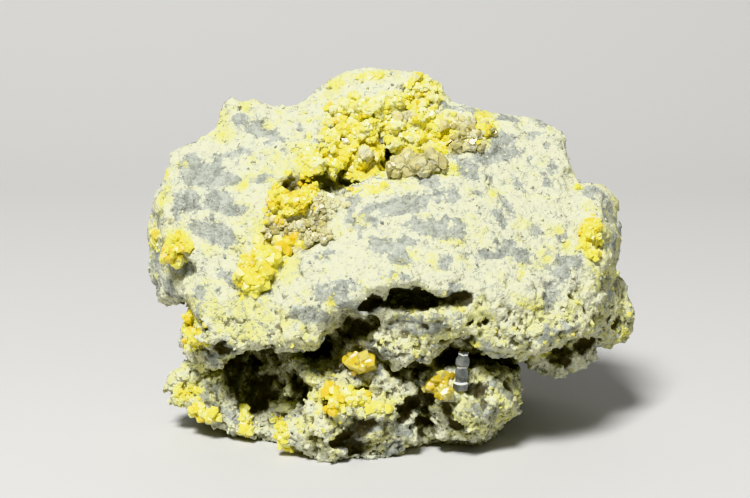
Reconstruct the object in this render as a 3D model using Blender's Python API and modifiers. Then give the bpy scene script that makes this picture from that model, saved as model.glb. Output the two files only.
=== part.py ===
"""Native sulfur specimen: a block of brecciated limestone whose hollows are lined with crystals.

The rock is the union of the broken blocks that it is made of. Each block is the convex hull of its
corners, in millimetres, with X to the right, Y to the rear and Z up from the table. The union is carved by
the hollows where the crystals grew, roughened, and trimmed level where it rests. Each crust of crystals is
one solid of its own: sulfur bipyramids, or blunt crystals of calcite, rooted in a bed that follows the rock.
"""

import math
import random
from dataclasses import dataclass

import bmesh
import bpy
from mathutils import Matrix, Quaternion, Vector
from mathutils.bvhtree import BVHTree

MM = 0.001

FUSE_VOXEL = 1.9  # mesh size at which the blocks grow into one rock
SKIN_VOXEL = 2.1  # mesh size of the rock once it is roughened
CRUST_VOXEL = 0.45  # mesh size at which the crystals of a crust grow together
ROCK_FACES = 4400  # triangles that the finished rock keeps
SWELL = 2.6  # height of the broad waves of the broken surface
SWELL_SIZE = 22
CHIP = 2.2  # height of the small blocks left by the break
CHIP_SIZE = 11
CRUST_GAP = 0.5  # clear space between the rock and each crust
BED_FLATNESS = 0.55  # thickness of a pebble of bed over its width
PACKING = 1.35  # spacing of the crystals over the square root of the area that each has
RISE = 0.45  # how far a crystal's middle stands off the rock, over its half-length
REACH = 1.15  # spacing over the bed's radius within which two pebbles surely meet
PLATES = 6  # plates in the striated column
PLATE_OVERLAP = 1.15  # thickness of a plate over its share of the column
PEBBLE_CORNERS = 10
PATCH_EDGE = 1.25  # how far past its reach a crust may be rooted, over that reach
STAND_OFF = 0.8  # least distance to another crust, over the spacing of the crystals
LIFT = 0.2  # height over the rock from which the space above a root is looked at
TRIES = 400  # places tried for each crystal
WELD = 0.01  # distance within which corners are merged
FLAT = (6, 4, 2, 1, 0.1)  # angles in degrees within which neighbouring facets become one, widest first
CRUMBLE = 3.0  # height of the crumbs near the foot
CRUMBLE_SIZE = 7
CRUMBLY_TOP = 60  # level below which the rock is crumbly
CRUMBLY_FADE = 25  # height over which it becomes so
CRUMBLY_LEAST = 0.15  # share of the crumbs that is left higher up
TABLE_WIDTH = 400  # side of the block that trims the foot level
TABLE_DEPTH = 20

# Corners of each broken block.
BLOCKS = {
    "right_slab": (
        (-16, -22, 93), (15, -26, 96), (24, -20, 101), (40, -4, 109), (60, 0, 106), (66, -4, 96),
        (69, -14, 86), (76, -28, 66), (74, -36, 44), (54, -44, 38), (38, -48, 36), (20, -58, 62),
        (0, -60, 66), (-15, -60, 57), (-10, 20, 85), (60, 40, 95), (72, 30, 50), (20, 30, 40), (-15, 20, 45),
    ),
    "right_crest": (
        (22, 10, 118), (30, 8, 117), (36, 6, 114), (41, 4, 116), (51, 4, 114), (57, 4, 112), (63, 2, 109),
        (62, 0, 105), (66, -4, 97), (65, -6, 90), (40, -6, 109), (25, -14, 104), (30, 35, 108),
        (58, 34, 104), (30, 10, 80), (60, 20, 80),
    ),
    "left_crown": (
        (-61, 0, 118), (-60, 4, 120), (-46, 4, 120), (-45, 2, 117), (-62, -2, 110), (-50, -8, 112),
        (-60, 26, 112), (-44, 26, 114), (-58, 10, 90), (-45, 10, 90),
    ),
    "left_shoulder": (
        (-63, -2, 110), (-72, -4, 106), (-81, -8, 101), (-83, -10, 94), (-86, -14, 82), (-76, -26, 66),
        (-70, -34, 54), (-64, -42, 40), (-48, -48, 39), (-31, -52, 41), (-27, -54, 39), (-21, -56, 52),
        (-15, -56, 60), (-26, -6, 114), (-33, 8, 119), (-45, 5, 116), (-70, 35, 95), (-75, 30, 60),
        (-20, 40, 100), (-20, 30, 45), (-60, 20, 42),
    ),
    "summit": (
        (-20, 10, 128), (-15, 14, 131), (-4, 14, 131), (8, 16, 131), (15, 14, 129), (19, 12, 126),
        (22, 8, 116), (-33, 8, 119), (-25, -2, 112), (4, -2, 117), (-25, 35, 118), (18, 38, 115),
        (22, 30, 100), (0, 0, 95), (-30, 10, 95), (22, 0, 95),
    ),
    "right_end": (
        (70, -8, 91), (79, -4, 91), (84, -2, 83), (84, -8, 70), (83, -14, 60), (75, -32, 60),
        (73, -26, 78), (69, -16, 87), (80, 30, 85), (70, 35, 80), (75, 25, 50), (79, -10, 52),
    ),
    "far_right": (
        (81, -10, 57), (85, -6, 53), (90, -2, 42), (90, -4, 31), (82, -8, 31), (77, -18, 38), (75, -22, 56),
        (87, 8, 50), (90, 8, 32), (85, 30, 50), (80, 32, 32), (60, 20, 45), (62, -10, 34),
    ),
    "left_flake": (
        (-85, 0, 91), (-89, 0, 79), (-90, 2, 70), (-89, 2, 57), (-86, 0, 47), (-84, -4, 43),
        (-77, -14, 48), (-73, -22, 51), (-81, -14, 72), (-80, 30, 80), (-80, 28, 50), (-60, 20, 60),
    ),
    "left_pocket": (
        (-72, -14, 45), (-75, -18, 36), (-75, -18, 31), (-64, -26, 33), (-60, -24, 27), (-63, -22, 22),
        (-74, -16, 26), (-68, -30, 48), (-70, 15, 40), (-68, 15, 25), (-62, -30, 40),
    ),
    "lip_tooth": (
        (-68, -26, 34), (-60, -28, 28), (-60, -28, 23), (-65, -26, 27), (-60, -36, 38), (-50, -36, 38),
        (-60, -10, 38),
    ),
    "arch_wall": (
        (-17, -40, 50), (-2, -38, 57), (17, -38, 59), (28, -38, 53), (20, -34, 43), (12, -32, 33),
        (-2, -34, 33), (-21, -34, 37), (28, -34, 40), (-15, 0, 55), (25, 0, 55), (25, 0, 30), (-15, 0, 30),
    ),
    "front_ridge": (
        (-38, -40, 31), (-28, -44, 31), (-19, -46, 26), (-12, -52, 20), (-10, -54, 12), (-21, -56, 10),
        (-31, -52, 14), (-36, -44, 21), (-34, -46, 4), (-21, -48, -1), (-40, 10, 30), (-45, 5, -1),
        (-5, -44, -1), (0, 0, 25), (5, 0, -1),
    ),
    "ridge_centre": (
        (-19, -44, 35), (-11, -46, 32), (2, -46, 32), (12, -44, 26), (6, -48, 20), (7, -46, 8), (-2, -50, 11),
        (-10, -52, 12), (-16, -50, 23), (-10, -42, -1), (5, -40, -1), (-15, 0, 32), (10, 0, 28), (8, 0, -1),
    ),
    "right_foot": (
        (13, -42, 30), (28, -44, 32), (43, -38, 27), (48, -34, 22), (46, -36, 16), (40, -42, 14),
        (36, -46, 12), (23, -48, 11), (17, -46, 15), (12, -42, 20), (22, -50, 26), (38, -46, 23),
        (45, 20, 22), (42, 22, -1), (12, 10, -1), (12, 10, 28), (32, -26, -1), (16, -26, -1),
    ),
    "left_knob": (
        (-77, -14, 24), (-82, -14, 19), (-82, -14, 14), (-76, -18, 12), (-67, -22, 5), (-52, -30, 4),
        (-60, -20, 21), (-67, -16, 23), (-70, 20, 20), (-62, 25, -1), (-40, 10, -1),
    ),
    "left_root": (
        (-66, -12, 4), (-52, -20, 2), (-40, -30, 1), (-32, -40, 4), (-30, -30, -1), (-46, -14, -1),
        (-44, -16, 16), (-55, -10, 16), (-38, -26, 20), (-60, 20, -1), (-35, 0, 30), (-62, 5, 25),
    ),
    "under_bulge": (
        (50, -26, 34), (75, -12, 31), (77, -8, 25), (70, -10, 20), (60, -18, 22), (70, 15, 30),
        (60, 18, 20), (50, 0, 40), (52, -12, 24),
    ),
    "footing": (
        (-44, -24, -1), (-36, -38, -1), (8, -36, -1), (38, -12, -1), (46, 24, -1), (40, 42, -1),
        (-50, 44, -1), (-60, 20, -1), (-40, -10, 32), (40, -8, 32), (48, 30, 32), (-55, 35, 32),
        (30, -14, 10),
    ),
    "core": (
        (-75, 25, 92), (-55, 45, 100), (0, 50, 112), (45, 48, 103), (75, 35, 80), (80, 30, 45),
        (60, 45, 25), (40, 38, 4), (-50, 42, 4), (-70, 30, 30), (-20, 62, 60), (20, 63, 50),
        (-50, 58, 60), (50, 58, 62), (-55, -15, 85), (55, -15, 85), (50, -14, 35), (-50, -14, 35),
    ),
}

# Hollows: centre, radii, and turn about Y (degrees) of each ellipsoid that is carved out.
HOLLOWS = {
    "undercut": ((-46, -38, 24), (20, 22, 11), 12),
    "arch": ((2, -57, 49), (24, 18, 16), -8),
    "arch_left": ((-14, -60, 44), (10, 16, 9), -40),
    "toe_notch": ((11, -42, 10), (3.5, 9, 8), 10),
    "right_crack": ((42, -42, 32), (11, 12, 3.5), 6),
    "dark_throat": ((20, -48, 38), (5, 12, 7), 30),
    "upper_basin": ((14, -6, 110), (14, 10, 6.5), -8),
    "summit_pocket": ((7, 4, 121), (5, 6, 3), 0),
    "middle_basin": ((-12, -12, 104), (14, 10, 6), -10),
    "dark_slot": ((-20, -19, 94), (10, 7, 4), -10),
    "lower_basin": ((-34, -24, 92), (9, 8, 6), -20),
    "druse_basin": ((-33, -34, 80), (13, 8, 11), -35),
    "basin_tail": ((-46, -43, 67), (9, 6, 8), -45),
    "left_socket": ((-72, -26, 63), (6, 6, 5), 20),
    "right_seam": ((72, -26, 73), (3, 7, 9), 8),
    "right_split": ((76, -24, 60), (3, 7, 8), -30),
}

# Blocks that stand inside the hollows.
LEDGES = {
    "arch_brow": (
        (-14, -56, 54), (-10, -57, 58), (-2, -57, 60), (-2, -52, 54), (-10, -52, 51), (-12, -25, 54),
        (0, -25, 56),
    ),
    "arch_upper_ledge": (
        (4, -54, 56), (10, -56, 57), (19, -57, 53), (28, -55, 52), (30, -52, 48), (17, -54, 48),
        (17, -50, 43), (12, -50, 39), (0, -48, 43), (-2, -50, 52), (4, -20, 50), (26, -20, 48),
        (16, -20, 38), (-2, -20, 43),
    ),
    "arch_lower_ledge": (
        (-15, -44, 43), (-6, -46, 44), (2, -52, 40), (12, -53, 41), (17, -50, 40), (14, -48, 35),
        (2, -48, 34), (-10, -46, 39), (-16, -20, 40), (14, -20, 38), (12, -20, 32), (-12, -20, 36),
    ),
}


@dataclass(frozen=True)
class Finish:
    """The look of one kind of surface."""

    name: str
    colour: tuple
    roughness: float


@dataclass(frozen=True)
class Crust:
    """Crystals that grew together on the rock, with sizes in millimetres."""

    finish: Finish
    habit: str
    centre: tuple
    reach: tuple  # half-widths of the patch that it covers
    bed: float  # radius of the pebbles under the crystals
    crystals: int
    size: tuple  # least and greatest half-length of a crystal
    seed: int
    tilt: float = 0.7  # how far the crystals lean from the surface's normal
    axis: tuple = ()  # the way that they point, where it isn't the surface's normal
    faces: int = 22  # triangles that each crystal keeps with its bed


LIMESTONE = Finish("limestone", (0.72, 0.71, 0.52), 0.9)
SULFUR = Finish("sulfur", (0.84, 0.66, 0.05), 0.3)
HONEY = Finish("honey_sulfur", (0.62, 0.36, 0.02), 0.25)
CALCITE = Finish("calcite", (0.42, 0.36, 0.24), 0.4)
GREY_CALCITE = Finish("grey_calcite", (0.30, 0.31, 0.28), 0.4)

CRUSTS = {
    "upper_vug_sulfur": Crust(SULFUR, "bipyramid", (12, -1, 108), (13, 8, 9), 6.0, 16, (3.2, 5.2), 12),
    "middle_vug_sulfur": Crust(SULFUR, "bipyramid", (-13, -5, 104), (13, 9, 9), 6.0, 16, (3.2, 5.2), 15),
    "brow_sulfur": Crust(SULFUR, "bipyramid", (-7, 1, 115), (14, 6, 5), 4.5, 9, (2.8, 4.2), 31),
    "summit_sulfur": Crust(SULFUR, "bipyramid", (12, 8, 123), (7, 8, 6), 4.5, 8, (2.8, 4.2), 11),
    "upper_vug_calcite": Crust(CALCITE, "rhomb", (28, -5, 108), (8, 8, 9), 4.5, 7, (3.2, 4.6), 13),
    "centre_calcite": Crust(CALCITE, "rhomb", (9, -19, 97), (8, 6, 5), 5.0, 5, (4.5, 6.0), 14),
    "lower_vug_sulfur": Crust(SULFUR, "bipyramid", (-34, -23, 90), (9, 7, 6), 5.0, 9, (3.2, 4.8), 16),
    "lower_vug_calcite": Crust(CALCITE, "rhomb", (-31, -31, 80), (12, 9, 10), 5.5, 15, (2.8, 4.4), 40),
    "vug_tail_sulfur": Crust(SULFUR, "bipyramid", (-46, -41, 66), (7, 6, 9), 5.0, 8, (3.4, 4.8), 18),
    "left_sulfur": Crust(SULFUR, "bipyramid", (-75, -22, 70), (6, 6, 5), 4.5, 5, (3.2, 4.2), 19),
    "right_seam_sulfur": Crust(SULFUR, "bipyramid", (71, -26, 76), (4, 6, 9), 4.5, 6, (2.8, 3.8), 20),
    "pocket_sulfur": Crust(SULFUR, "bipyramid", (-68, -27, 40), (5, 6, 7), 4.5, 5, (2.8, 3.8), 21),
    "arch_honey_sulfur": Crust(HONEY, "bipyramid", (-12, -46, 36), (5, 6, 3), 4.5, 2, (6.5, 7.5), 22),
    "throat_amber_sulfur": Crust(HONEY, "bipyramid", (18, -46, 29), (4, 6, 5), 4.0, 3, (4.0, 5.5), 23),
    "throat_column": Crust(
        GREY_CALCITE, "column", (25, -46, 31), (2, 5, 2), 3.0, 1, (6.5, 6.5), 29, 0.1, (0.1, 0, 1), 130
    ),
    "ridge_sulfur": Crust(SULFUR, "bipyramid", (-17, -50, 24), (8, 6, 5), 4.0, 6, (2.5, 3.8), 24),
    "left_underside_sulfur": Crust(SULFUR, "bipyramid", (-66, -22, 9), (5, 6, 4), 4.0, 3, (3.0, 4.0), 25),
    "mid_underside_sulfur": Crust(SULFUR, "bipyramid", (-52, -26, 8), (5, 6, 4), 4.0, 3, (3.0, 4.0), 26),
    "toe_sulfur": Crust(SULFUR, "bipyramid", (-38, -46, 7), (4, 5, 4), 4.0, 3, (3.0, 4.0), 28),
}


def collection(name, hidden=False):
    """A new collection in the scene."""
    made = bpy.data.collections.new(name)
    bpy.context.scene.collection.children.link(made)
    made.hide_render = hidden
    return made


def solid(name, shape, where):
    """An object in a collection that takes over a mesh under construction."""
    mesh = bpy.data.meshes.new(name)
    shape.to_mesh(mesh)
    shape.free()
    made = bpy.data.objects.new(name, mesh)
    where.objects.link(made)
    return made


def hull(name, corners, where):
    """A broken block: the convex hull of its corners, given in millimetres."""
    shape = bmesh.new()
    for corner in corners:
        shape.verts.new(Vector(corner) * MM)
    made = bmesh.ops.convex_hull(shape, input=shape.verts)
    inside = [v for v in made["geom_interior"] if isinstance(v, bmesh.types.BMVert)]
    bmesh.ops.delete(shape, geom=inside, context="VERTS")
    bmesh.ops.recalc_face_normals(shape, faces=shape.faces)
    return solid(name, shape, where)


def ellipsoid(name, centre, radii, turn, where):
    """An ellipsoid with its size in its mesh, turned about Y."""
    shape = bmesh.new()
    place = (
        Matrix.Translation(Vector(centre) * MM)
        @ Matrix.Rotation(math.radians(turn), 4, "Y")
        @ Matrix.Diagonal((*(Vector(radii) * MM), 1))
    )
    bmesh.ops.create_icosphere(shape, subdivisions=3, radius=1, matrix=place)
    return solid(name, shape, where)


def applied(thing):
    """The object with its modifiers made part of its mesh."""
    graph = bpy.context.evaluated_depsgraph_get()
    mesh = bpy.data.meshes.new_from_object(thing.evaluated_get(graph))
    thing.modifiers.clear()
    thing.data = mesh
    return thing


def joined(name, things, where):
    """One object that holds the meshes of several, which are removed."""
    shape = bmesh.new()
    for thing in things:
        shape.from_mesh(thing.data)
        bpy.data.objects.remove(thing)
    return solid(name, shape, where)


def remesh(thing, size):
    """Adds a voxel remesh, which grows overlapping blocks into one skin."""
    modifier = thing.modifiers.new("fuse", "REMESH")
    modifier.mode = "VOXEL"
    modifier.voxel_size = size * MM
    modifier.use_smooth_shade = False


def carve(thing, cutter):
    """Adds the cut that one cutter makes."""
    cutter.hide_render = True
    cutter.display_type = "WIRE"
    modifier = thing.modifiers.new("carve", "BOOLEAN")
    modifier.operation = "DIFFERENCE"
    modifier.solver = "EXACT"
    modifier.object = cutter


def roughen(thing, name, kind, size, height):
    """Adds waves or chips to a surface, from a procedural texture with a size and a height in millimetres."""
    texture = bpy.data.textures.new(name, kind)
    texture.noise_scale = size * MM
    if kind == "CLOUDS":
        texture.noise_depth = 2
    modifier = thing.modifiers.new(name, "DISPLACE")
    modifier.texture = texture
    modifier.texture_coords = "LOCAL"
    modifier.strength = height * MM
    modifier.mid_level = 0.5
    return modifier


def slab_below(name, where):
    """A block whose top is the level on which the rock stands."""
    shape = bmesh.new()
    size = Matrix.Diagonal((TABLE_WIDTH * MM, TABLE_WIDTH * MM, TABLE_DEPTH * MM, 1))
    place = Matrix.Translation((0, 0, -TABLE_DEPTH / 2 * MM)) @ size
    bmesh.ops.create_cube(shape, size=1, matrix=place)
    return solid(name, shape, where)


def thin(thing, faces):
    """Adds a decimation that leaves about this many triangles."""
    modifier = thing.modifiers.new("thin", "DECIMATE")
    modifier.ratio = faces / (2 * len(thing.data.polygons))


def flattened(mesh, angle):
    """A mesh's triangles, with neighbours within an angle in degrees made one flat facet first."""
    shape = bmesh.new()
    shape.from_mesh(mesh)
    bmesh.ops.triangulate(shape, faces=shape.faces)
    bmesh.ops.remove_doubles(shape, verts=shape.verts, dist=WELD * MM)
    bmesh.ops.dissolve_limit(shape, angle_limit=math.radians(angle), verts=shape.verts, edges=shape.edges)
    bmesh.ops.triangulate(shape, faces=shape.faces)
    return shape


def largest_island(thing):
    """Keeps the largest body of a mesh, in facets as flat as leave it closed, and drops the crumbs."""
    for angle in FLAT:
        shape = flattened(thing.data, angle)
        unseen = set(shape.verts)
        islands = []
        while unseen:
            islands.append(island_of(unseen.pop(), unseen))
        islands.sort(key=extent, reverse=True)
        stray = [vertex for island in islands[1:] for vertex in island]
        bmesh.ops.delete(shape, geom=stray, context="VERTS")
        if all(part.is_manifold for part in [*shape.edges, *shape.verts]):
            break
    shape.to_mesh(thing.data)
    shape.free()


def island_of(start, unseen):
    """The vertices joined to one vertex, taken out of those not seen yet."""
    island = {start}
    front = [start]
    while front:
        for edge in front.pop().link_edges:
            for vertex in edge.verts:
                if vertex in unseen:
                    unseen.remove(vertex)
                    island.add(vertex)
                    front.append(vertex)
    return island


def extent(vertices):
    """The diagonal of the box round some vertices."""
    low = [min(v.co[axis] for v in vertices) for axis in range(3)]
    high = [max(v.co[axis] for v in vertices) for axis in range(3)]
    return (Vector(high) - Vector(low)).length


def inflated(name, thing, where):
    """A cutter: a copy grown outwards by the gap that each crust keeps."""
    grown = bpy.data.objects.new(name, thing.data.copy())
    grown.hide_render = True
    grown.display_type = "WIRE"
    where.objects.link(grown)
    modifier = grown.modifiers.new("gap", "DISPLACE")
    modifier.strength = CRUST_GAP * MM
    modifier.mid_level = 0.0
    return applied(grown)


def finish(thing, look):
    """Gives an object its own material."""
    material = bpy.data.materials.new(f"{thing.name}_{look.name}")
    material.use_nodes = True
    shader = material.node_tree.nodes["Principled BSDF"]
    shader.inputs["Base Color"].default_value = (*look.colour, 1)
    shader.inputs["Roughness"].default_value = look.roughness
    shader.inputs["Metallic"].default_value = 0.0
    thing.data.materials.clear()
    thing.data.materials.append(material)


def bipyramid(rng):
    """A sulfur crystal of half-length 1: the corners of a rhombic bipyramid with one blunt tip."""
    wide = rng.uniform(0.7, 0.9)
    deep = rng.uniform(0.6, 0.8)
    belt = rng.uniform(-0.1, 0.15)
    tip = rng.uniform(0.7, 0.85)
    blunt = 0.35  # width of the blunt tip over that of the belt
    corners = [(0, 0, -1), (wide, 0, belt), (-wide, 0, belt), (0, deep, belt), (0, -deep, belt)]
    corners += [(wide * blunt, 0, tip), (-wide * blunt, 0, tip)]
    corners += [(0, deep * blunt, tip), (0, -deep * blunt, tip)]
    return [corners]


def rhomb(rng):
    """A calcite crystal of half-length 1: the corners of a steep rhombohedron cut short by a flat top."""
    corners = []
    waist = rng.uniform(0.75, 0.95)
    for step in range(6):
        angle = math.radians(60 * step)
        level = 0.25 if step % 2 else -0.25
        corners.append((waist * math.cos(angle), waist * math.sin(angle), level))
    for step in range(3):
        angle = math.radians(120 * step + 60)
        corners.append((0.5 * waist * math.cos(angle), 0.5 * waist * math.sin(angle), 0.8))
    return [corners + [(0, 0, -0.9)]]


def column(rng):
    """A striated column of half-length 1: the corners of six-sided plates of unequal width, stacked."""
    plates = []
    for step in range(PLATES):
        low = 2 * step / PLATES - 1
        high = low + 2 * PLATE_OVERLAP / PLATES
        width = (0.34 if step % 2 else 0.44) * rng.uniform(0.92, 1.08)
        ring = [math.radians(60 * side) for side in range(6)]
        rim = [(width * math.cos(angle), width * math.sin(angle)) for angle in ring]
        plates.append([(*corner, level) for corner in rim for level in (low, high)])
    return plates


HABITS = {"bipyramid": bipyramid, "rhomb": rhomb, "column": column}


def lump(rng):
    """Corners of the bed under one crystal: a rough flattened pebble of radius 1."""
    corners = []
    for _ in range(PEBBLE_CORNERS):
        point = Vector([rng.gauss(0, 1) for _ in range(3)]).normalized()
        corners.append((point.x, point.y, point.z * BED_FLATNESS))
    return corners


def placed(corners, place, turn, size):
    """Corners turned, sized and moved, in millimetres."""
    return [tuple(place + turn @ (Vector(corner) * size)) for corner in corners]


def facing(normal, lean, rng):
    """A turn that points +Z near a normal, with a random spin."""
    axis = (normal + Vector([rng.uniform(-lean, lean) for _ in range(3)])).normalized()
    return axis.to_track_quat("Z", "Y") @ Quaternion((0, 0, 1), rng.uniform(0, math.tau))


def tree_of(thing):
    """A search tree over an object's faces, in millimetres."""
    vertices = [vertex.co / MM for vertex in thing.data.vertices]
    return BVHTree.FromPolygons(vertices, [polygon.vertices for polygon in thing.data.polygons])


def roots(crust, surface, others, rng):
    """Points of the rock, with normals, where the crystals of a crust are rooted."""
    apart = PACKING * math.sqrt(crust.reach[0] * crust.reach[2] / crust.crystals)
    start, normal, _, _ = surface.find_nearest(Vector(crust.centre))
    found = [(start, normal)]
    for _ in range(TRIES * crust.crystals):
        if len(found) == crust.crystals:
            break
        offset = Vector([rng.uniform(-1, 1) for _ in range(3)])
        if offset.length > 1:
            continue
        point, normal, _, _ = surface.find_nearest(Vector(crust.centre) + offset * Vector(crust.reach))
        away = Vector([(point[axis] - crust.centre[axis]) / crust.reach[axis] for axis in range(3)])
        inside = away.length < PATCH_EDGE
        crowded = any((point - other).length < apart for other, _ in found)
        covered = surface.ray_cast(point + normal * LIFT, normal, crust.size[0])[0] is not None
        near = any(tree.find_nearest(point, apart * STAND_OFF)[0] is not None for tree in others)
        alone = all((point - other).length > crust.bed * REACH for other, _ in found)
        if inside and not crowded and not covered and not near and not alone:
            found.append((point, normal))
    return found


def neighbours(thing, others):
    """The grown copies of those crusts whose boxes meet an object's box."""
    def box(item):
        corners = [vertex.co for vertex in item.data.vertices]
        return [(min(c[axis] for c in corners), max(c[axis] for c in corners)) for axis in range(3)]

    mine = box(thing)
    return [other for other in others if all(a[0] < b[1] and b[0] < a[1] for a, b in zip(mine, box(other)))]


def grow(name, crust, surface, clearance, grown, spaces, where, cutters):
    """One crust of crystals: pebbles of bed and the crystals on them, joined and cut clear of the rock."""
    rng = random.Random(crust.seed)
    found = roots(crust, surface, [tree_of(other) for other in grown], rng)
    pieces = []
    for point, normal in found:
        size = rng.uniform(*crust.size)
        bed = placed(lump(rng), point, facing(normal, 0, rng), crust.bed)
        turn = facing(Vector(crust.axis or normal), crust.tilt, rng)
        middle = point + normal * size * RISE
        shapes = [placed(corners, middle, turn, size) for corners in HABITS[crust.habit](rng)]
        pieces += [hull("piece", corners, where) for corners in [bed, *shapes]]
    made = joined(name, pieces, where)
    remesh(made, CRUST_VOXEL)
    applied(made)
    thin(made, crust.faces * len(found))
    applied(made)
    for cutter in [clearance, *neighbours(made, spaces)]:
        carve(made, cutter)
        made.modifiers["carve"].use_self = True
        applied(made)
    largest_island(made)
    spaces.append(inflated(f"{name}_clearance", made, cutters))
    return made


def centre_on_axis(parts):
    """Moves every mesh so that the middle of the whole box is over the origin, with the foot at zero."""
    corners = [vertex.co for thing in parts.objects for vertex in thing.data.vertices]
    low = Vector([min(c[axis] for c in corners) for axis in range(3)])
    high = Vector([max(c[axis] for c in corners) for axis in range(3)])
    shift = Vector(((low.x + high.x) / 2, (low.y + high.y) / 2, low.z))
    for thing in parts.objects:
        thing.data.transform(Matrix.Translation(-shift))


def crumbly(thing):
    """Weights that grow towards the foot, where the rock broke into smaller pieces."""
    group = thing.vertex_groups.new(name="crumbly")
    for vertex in thing.data.vertices:
        below = (CRUMBLY_TOP - vertex.co.z / MM) / CRUMBLY_FADE
        group.add([vertex.index], min(max(below, CRUMBLY_LEAST), 1.0), "REPLACE")


def matrix_rock(parts, cutters):
    """The limestone block: fused, carved, roughened, thinned to flat facets and trimmed level."""
    blocks = [hull(name, corners, parts) for name, corners in BLOCKS.items()]
    rock = joined("matrix_rock", blocks, parts)
    remesh(rock, FUSE_VOXEL)
    applied(rock)
    for name, (centre, radii, turn) in HOLLOWS.items():
        carve(rock, ellipsoid(name, centre, radii, turn, cutters))
    applied(rock)
    ledges = [hull(name, corners, parts) for name, corners in LEDGES.items()]
    rock = joined("matrix_rock", [rock, *ledges], parts)
    remesh(rock, FUSE_VOXEL)
    applied(rock)
    crumbly(rock)
    roughen(rock, "swell", "CLOUDS", SWELL_SIZE, SWELL)
    roughen(rock, "chip", "VORONOI", CHIP_SIZE, CHIP)
    roughen(rock, "crumble", "VORONOI", CRUMBLE_SIZE, CRUMBLE).vertex_group = "crumbly"
    remesh(rock, SKIN_VOXEL)
    applied(rock)
    thin(rock, ROCK_FACES)
    applied(rock)
    carve(rock, slab_below("table", cutters))
    applied(rock)
    largest_island(rock)
    return rock


def main():
    """Builds the specimen."""
    for old in list(bpy.data.objects):
        bpy.data.objects.remove(old)
    parts = collection("native_sulfur_specimen")
    cutters = collection("cutters", hidden=True)
    rock = matrix_rock(parts, cutters)
    finish(rock, LIMESTONE)
    surface = tree_of(rock)
    clearance = inflated("rock_clearance", rock, cutters)
    grown, spaces = [], []
    for name, crust in CRUSTS.items():
        made = grow(name, crust, surface, clearance, grown, spaces, parts, cutters)
        finish(made, crust.finish)
        grown.append(made)
    centre_on_axis(parts)


main()
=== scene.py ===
"""Looks of a native sulfur specimen: a broken block of limestone breccia with a druse of crystals.

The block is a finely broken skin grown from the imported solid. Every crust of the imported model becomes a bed
with many small flat-faced crystals on it. Lengths are in millimetres until a mesh is made; places given in
view pixels are points of the camera's frame of 750 by 498, which a ray turns into points of the surface.
"""

import logging
import math
import random
from dataclasses import dataclass
from enum import Enum

import bmesh
import bpy
import numpy as np
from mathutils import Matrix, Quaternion, Vector, noise
from mathutils.bvhtree import BVHTree

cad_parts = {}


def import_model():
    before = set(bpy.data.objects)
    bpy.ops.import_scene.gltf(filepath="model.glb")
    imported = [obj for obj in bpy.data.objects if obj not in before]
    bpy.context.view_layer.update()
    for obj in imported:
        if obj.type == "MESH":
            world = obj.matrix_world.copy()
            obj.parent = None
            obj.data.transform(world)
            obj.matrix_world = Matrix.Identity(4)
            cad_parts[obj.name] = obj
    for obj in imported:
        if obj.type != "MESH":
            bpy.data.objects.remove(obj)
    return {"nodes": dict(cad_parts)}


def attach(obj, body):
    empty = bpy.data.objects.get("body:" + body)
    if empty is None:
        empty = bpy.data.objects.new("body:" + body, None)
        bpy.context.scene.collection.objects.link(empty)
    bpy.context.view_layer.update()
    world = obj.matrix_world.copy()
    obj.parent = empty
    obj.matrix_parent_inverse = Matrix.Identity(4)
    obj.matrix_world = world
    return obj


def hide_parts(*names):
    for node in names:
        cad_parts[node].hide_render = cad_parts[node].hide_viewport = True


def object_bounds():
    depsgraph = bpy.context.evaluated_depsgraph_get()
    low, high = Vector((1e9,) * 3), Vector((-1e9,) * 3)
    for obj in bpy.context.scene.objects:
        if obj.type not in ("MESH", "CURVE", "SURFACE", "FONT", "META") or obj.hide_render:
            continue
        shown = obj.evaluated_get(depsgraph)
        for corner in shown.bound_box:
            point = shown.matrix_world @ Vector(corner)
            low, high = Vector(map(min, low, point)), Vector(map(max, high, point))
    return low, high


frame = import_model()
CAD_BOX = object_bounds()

Colour = tuple[float, float, float]
Shape = tuple[np.ndarray, np.ndarray]
Seat = tuple[Vector, Vector]

MM = 0.001
BODY = "root"
NOISE_SEED = 1

WELD = 0.01
TRIANGLE_LIMIT = 195000
CLIP_START = 0.01

FACET_SHAKE = 0.3
FACET_SHAKE_PITCH = 1.6
LEAN_KEY = 7.3
STEP_KEY = 13.1

PROBE_SEED = 3
PROBE_START = 1.6
PROBE_RISE = 1.02

RAGGED_BROAD = 4.2
RAGGED_BROAD_SHAKE = 4.0
RAGGED_FINE = 1.7
RAGGED_FINE_SHAKE = 2.0
RIM_SHARE = 0.7
FAR_OUTSIDE = -8.0
PATCH_SLACK = 3.0

log = logging.getLogger("specimen")


# ---------------------------------------------------------------- view


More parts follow.
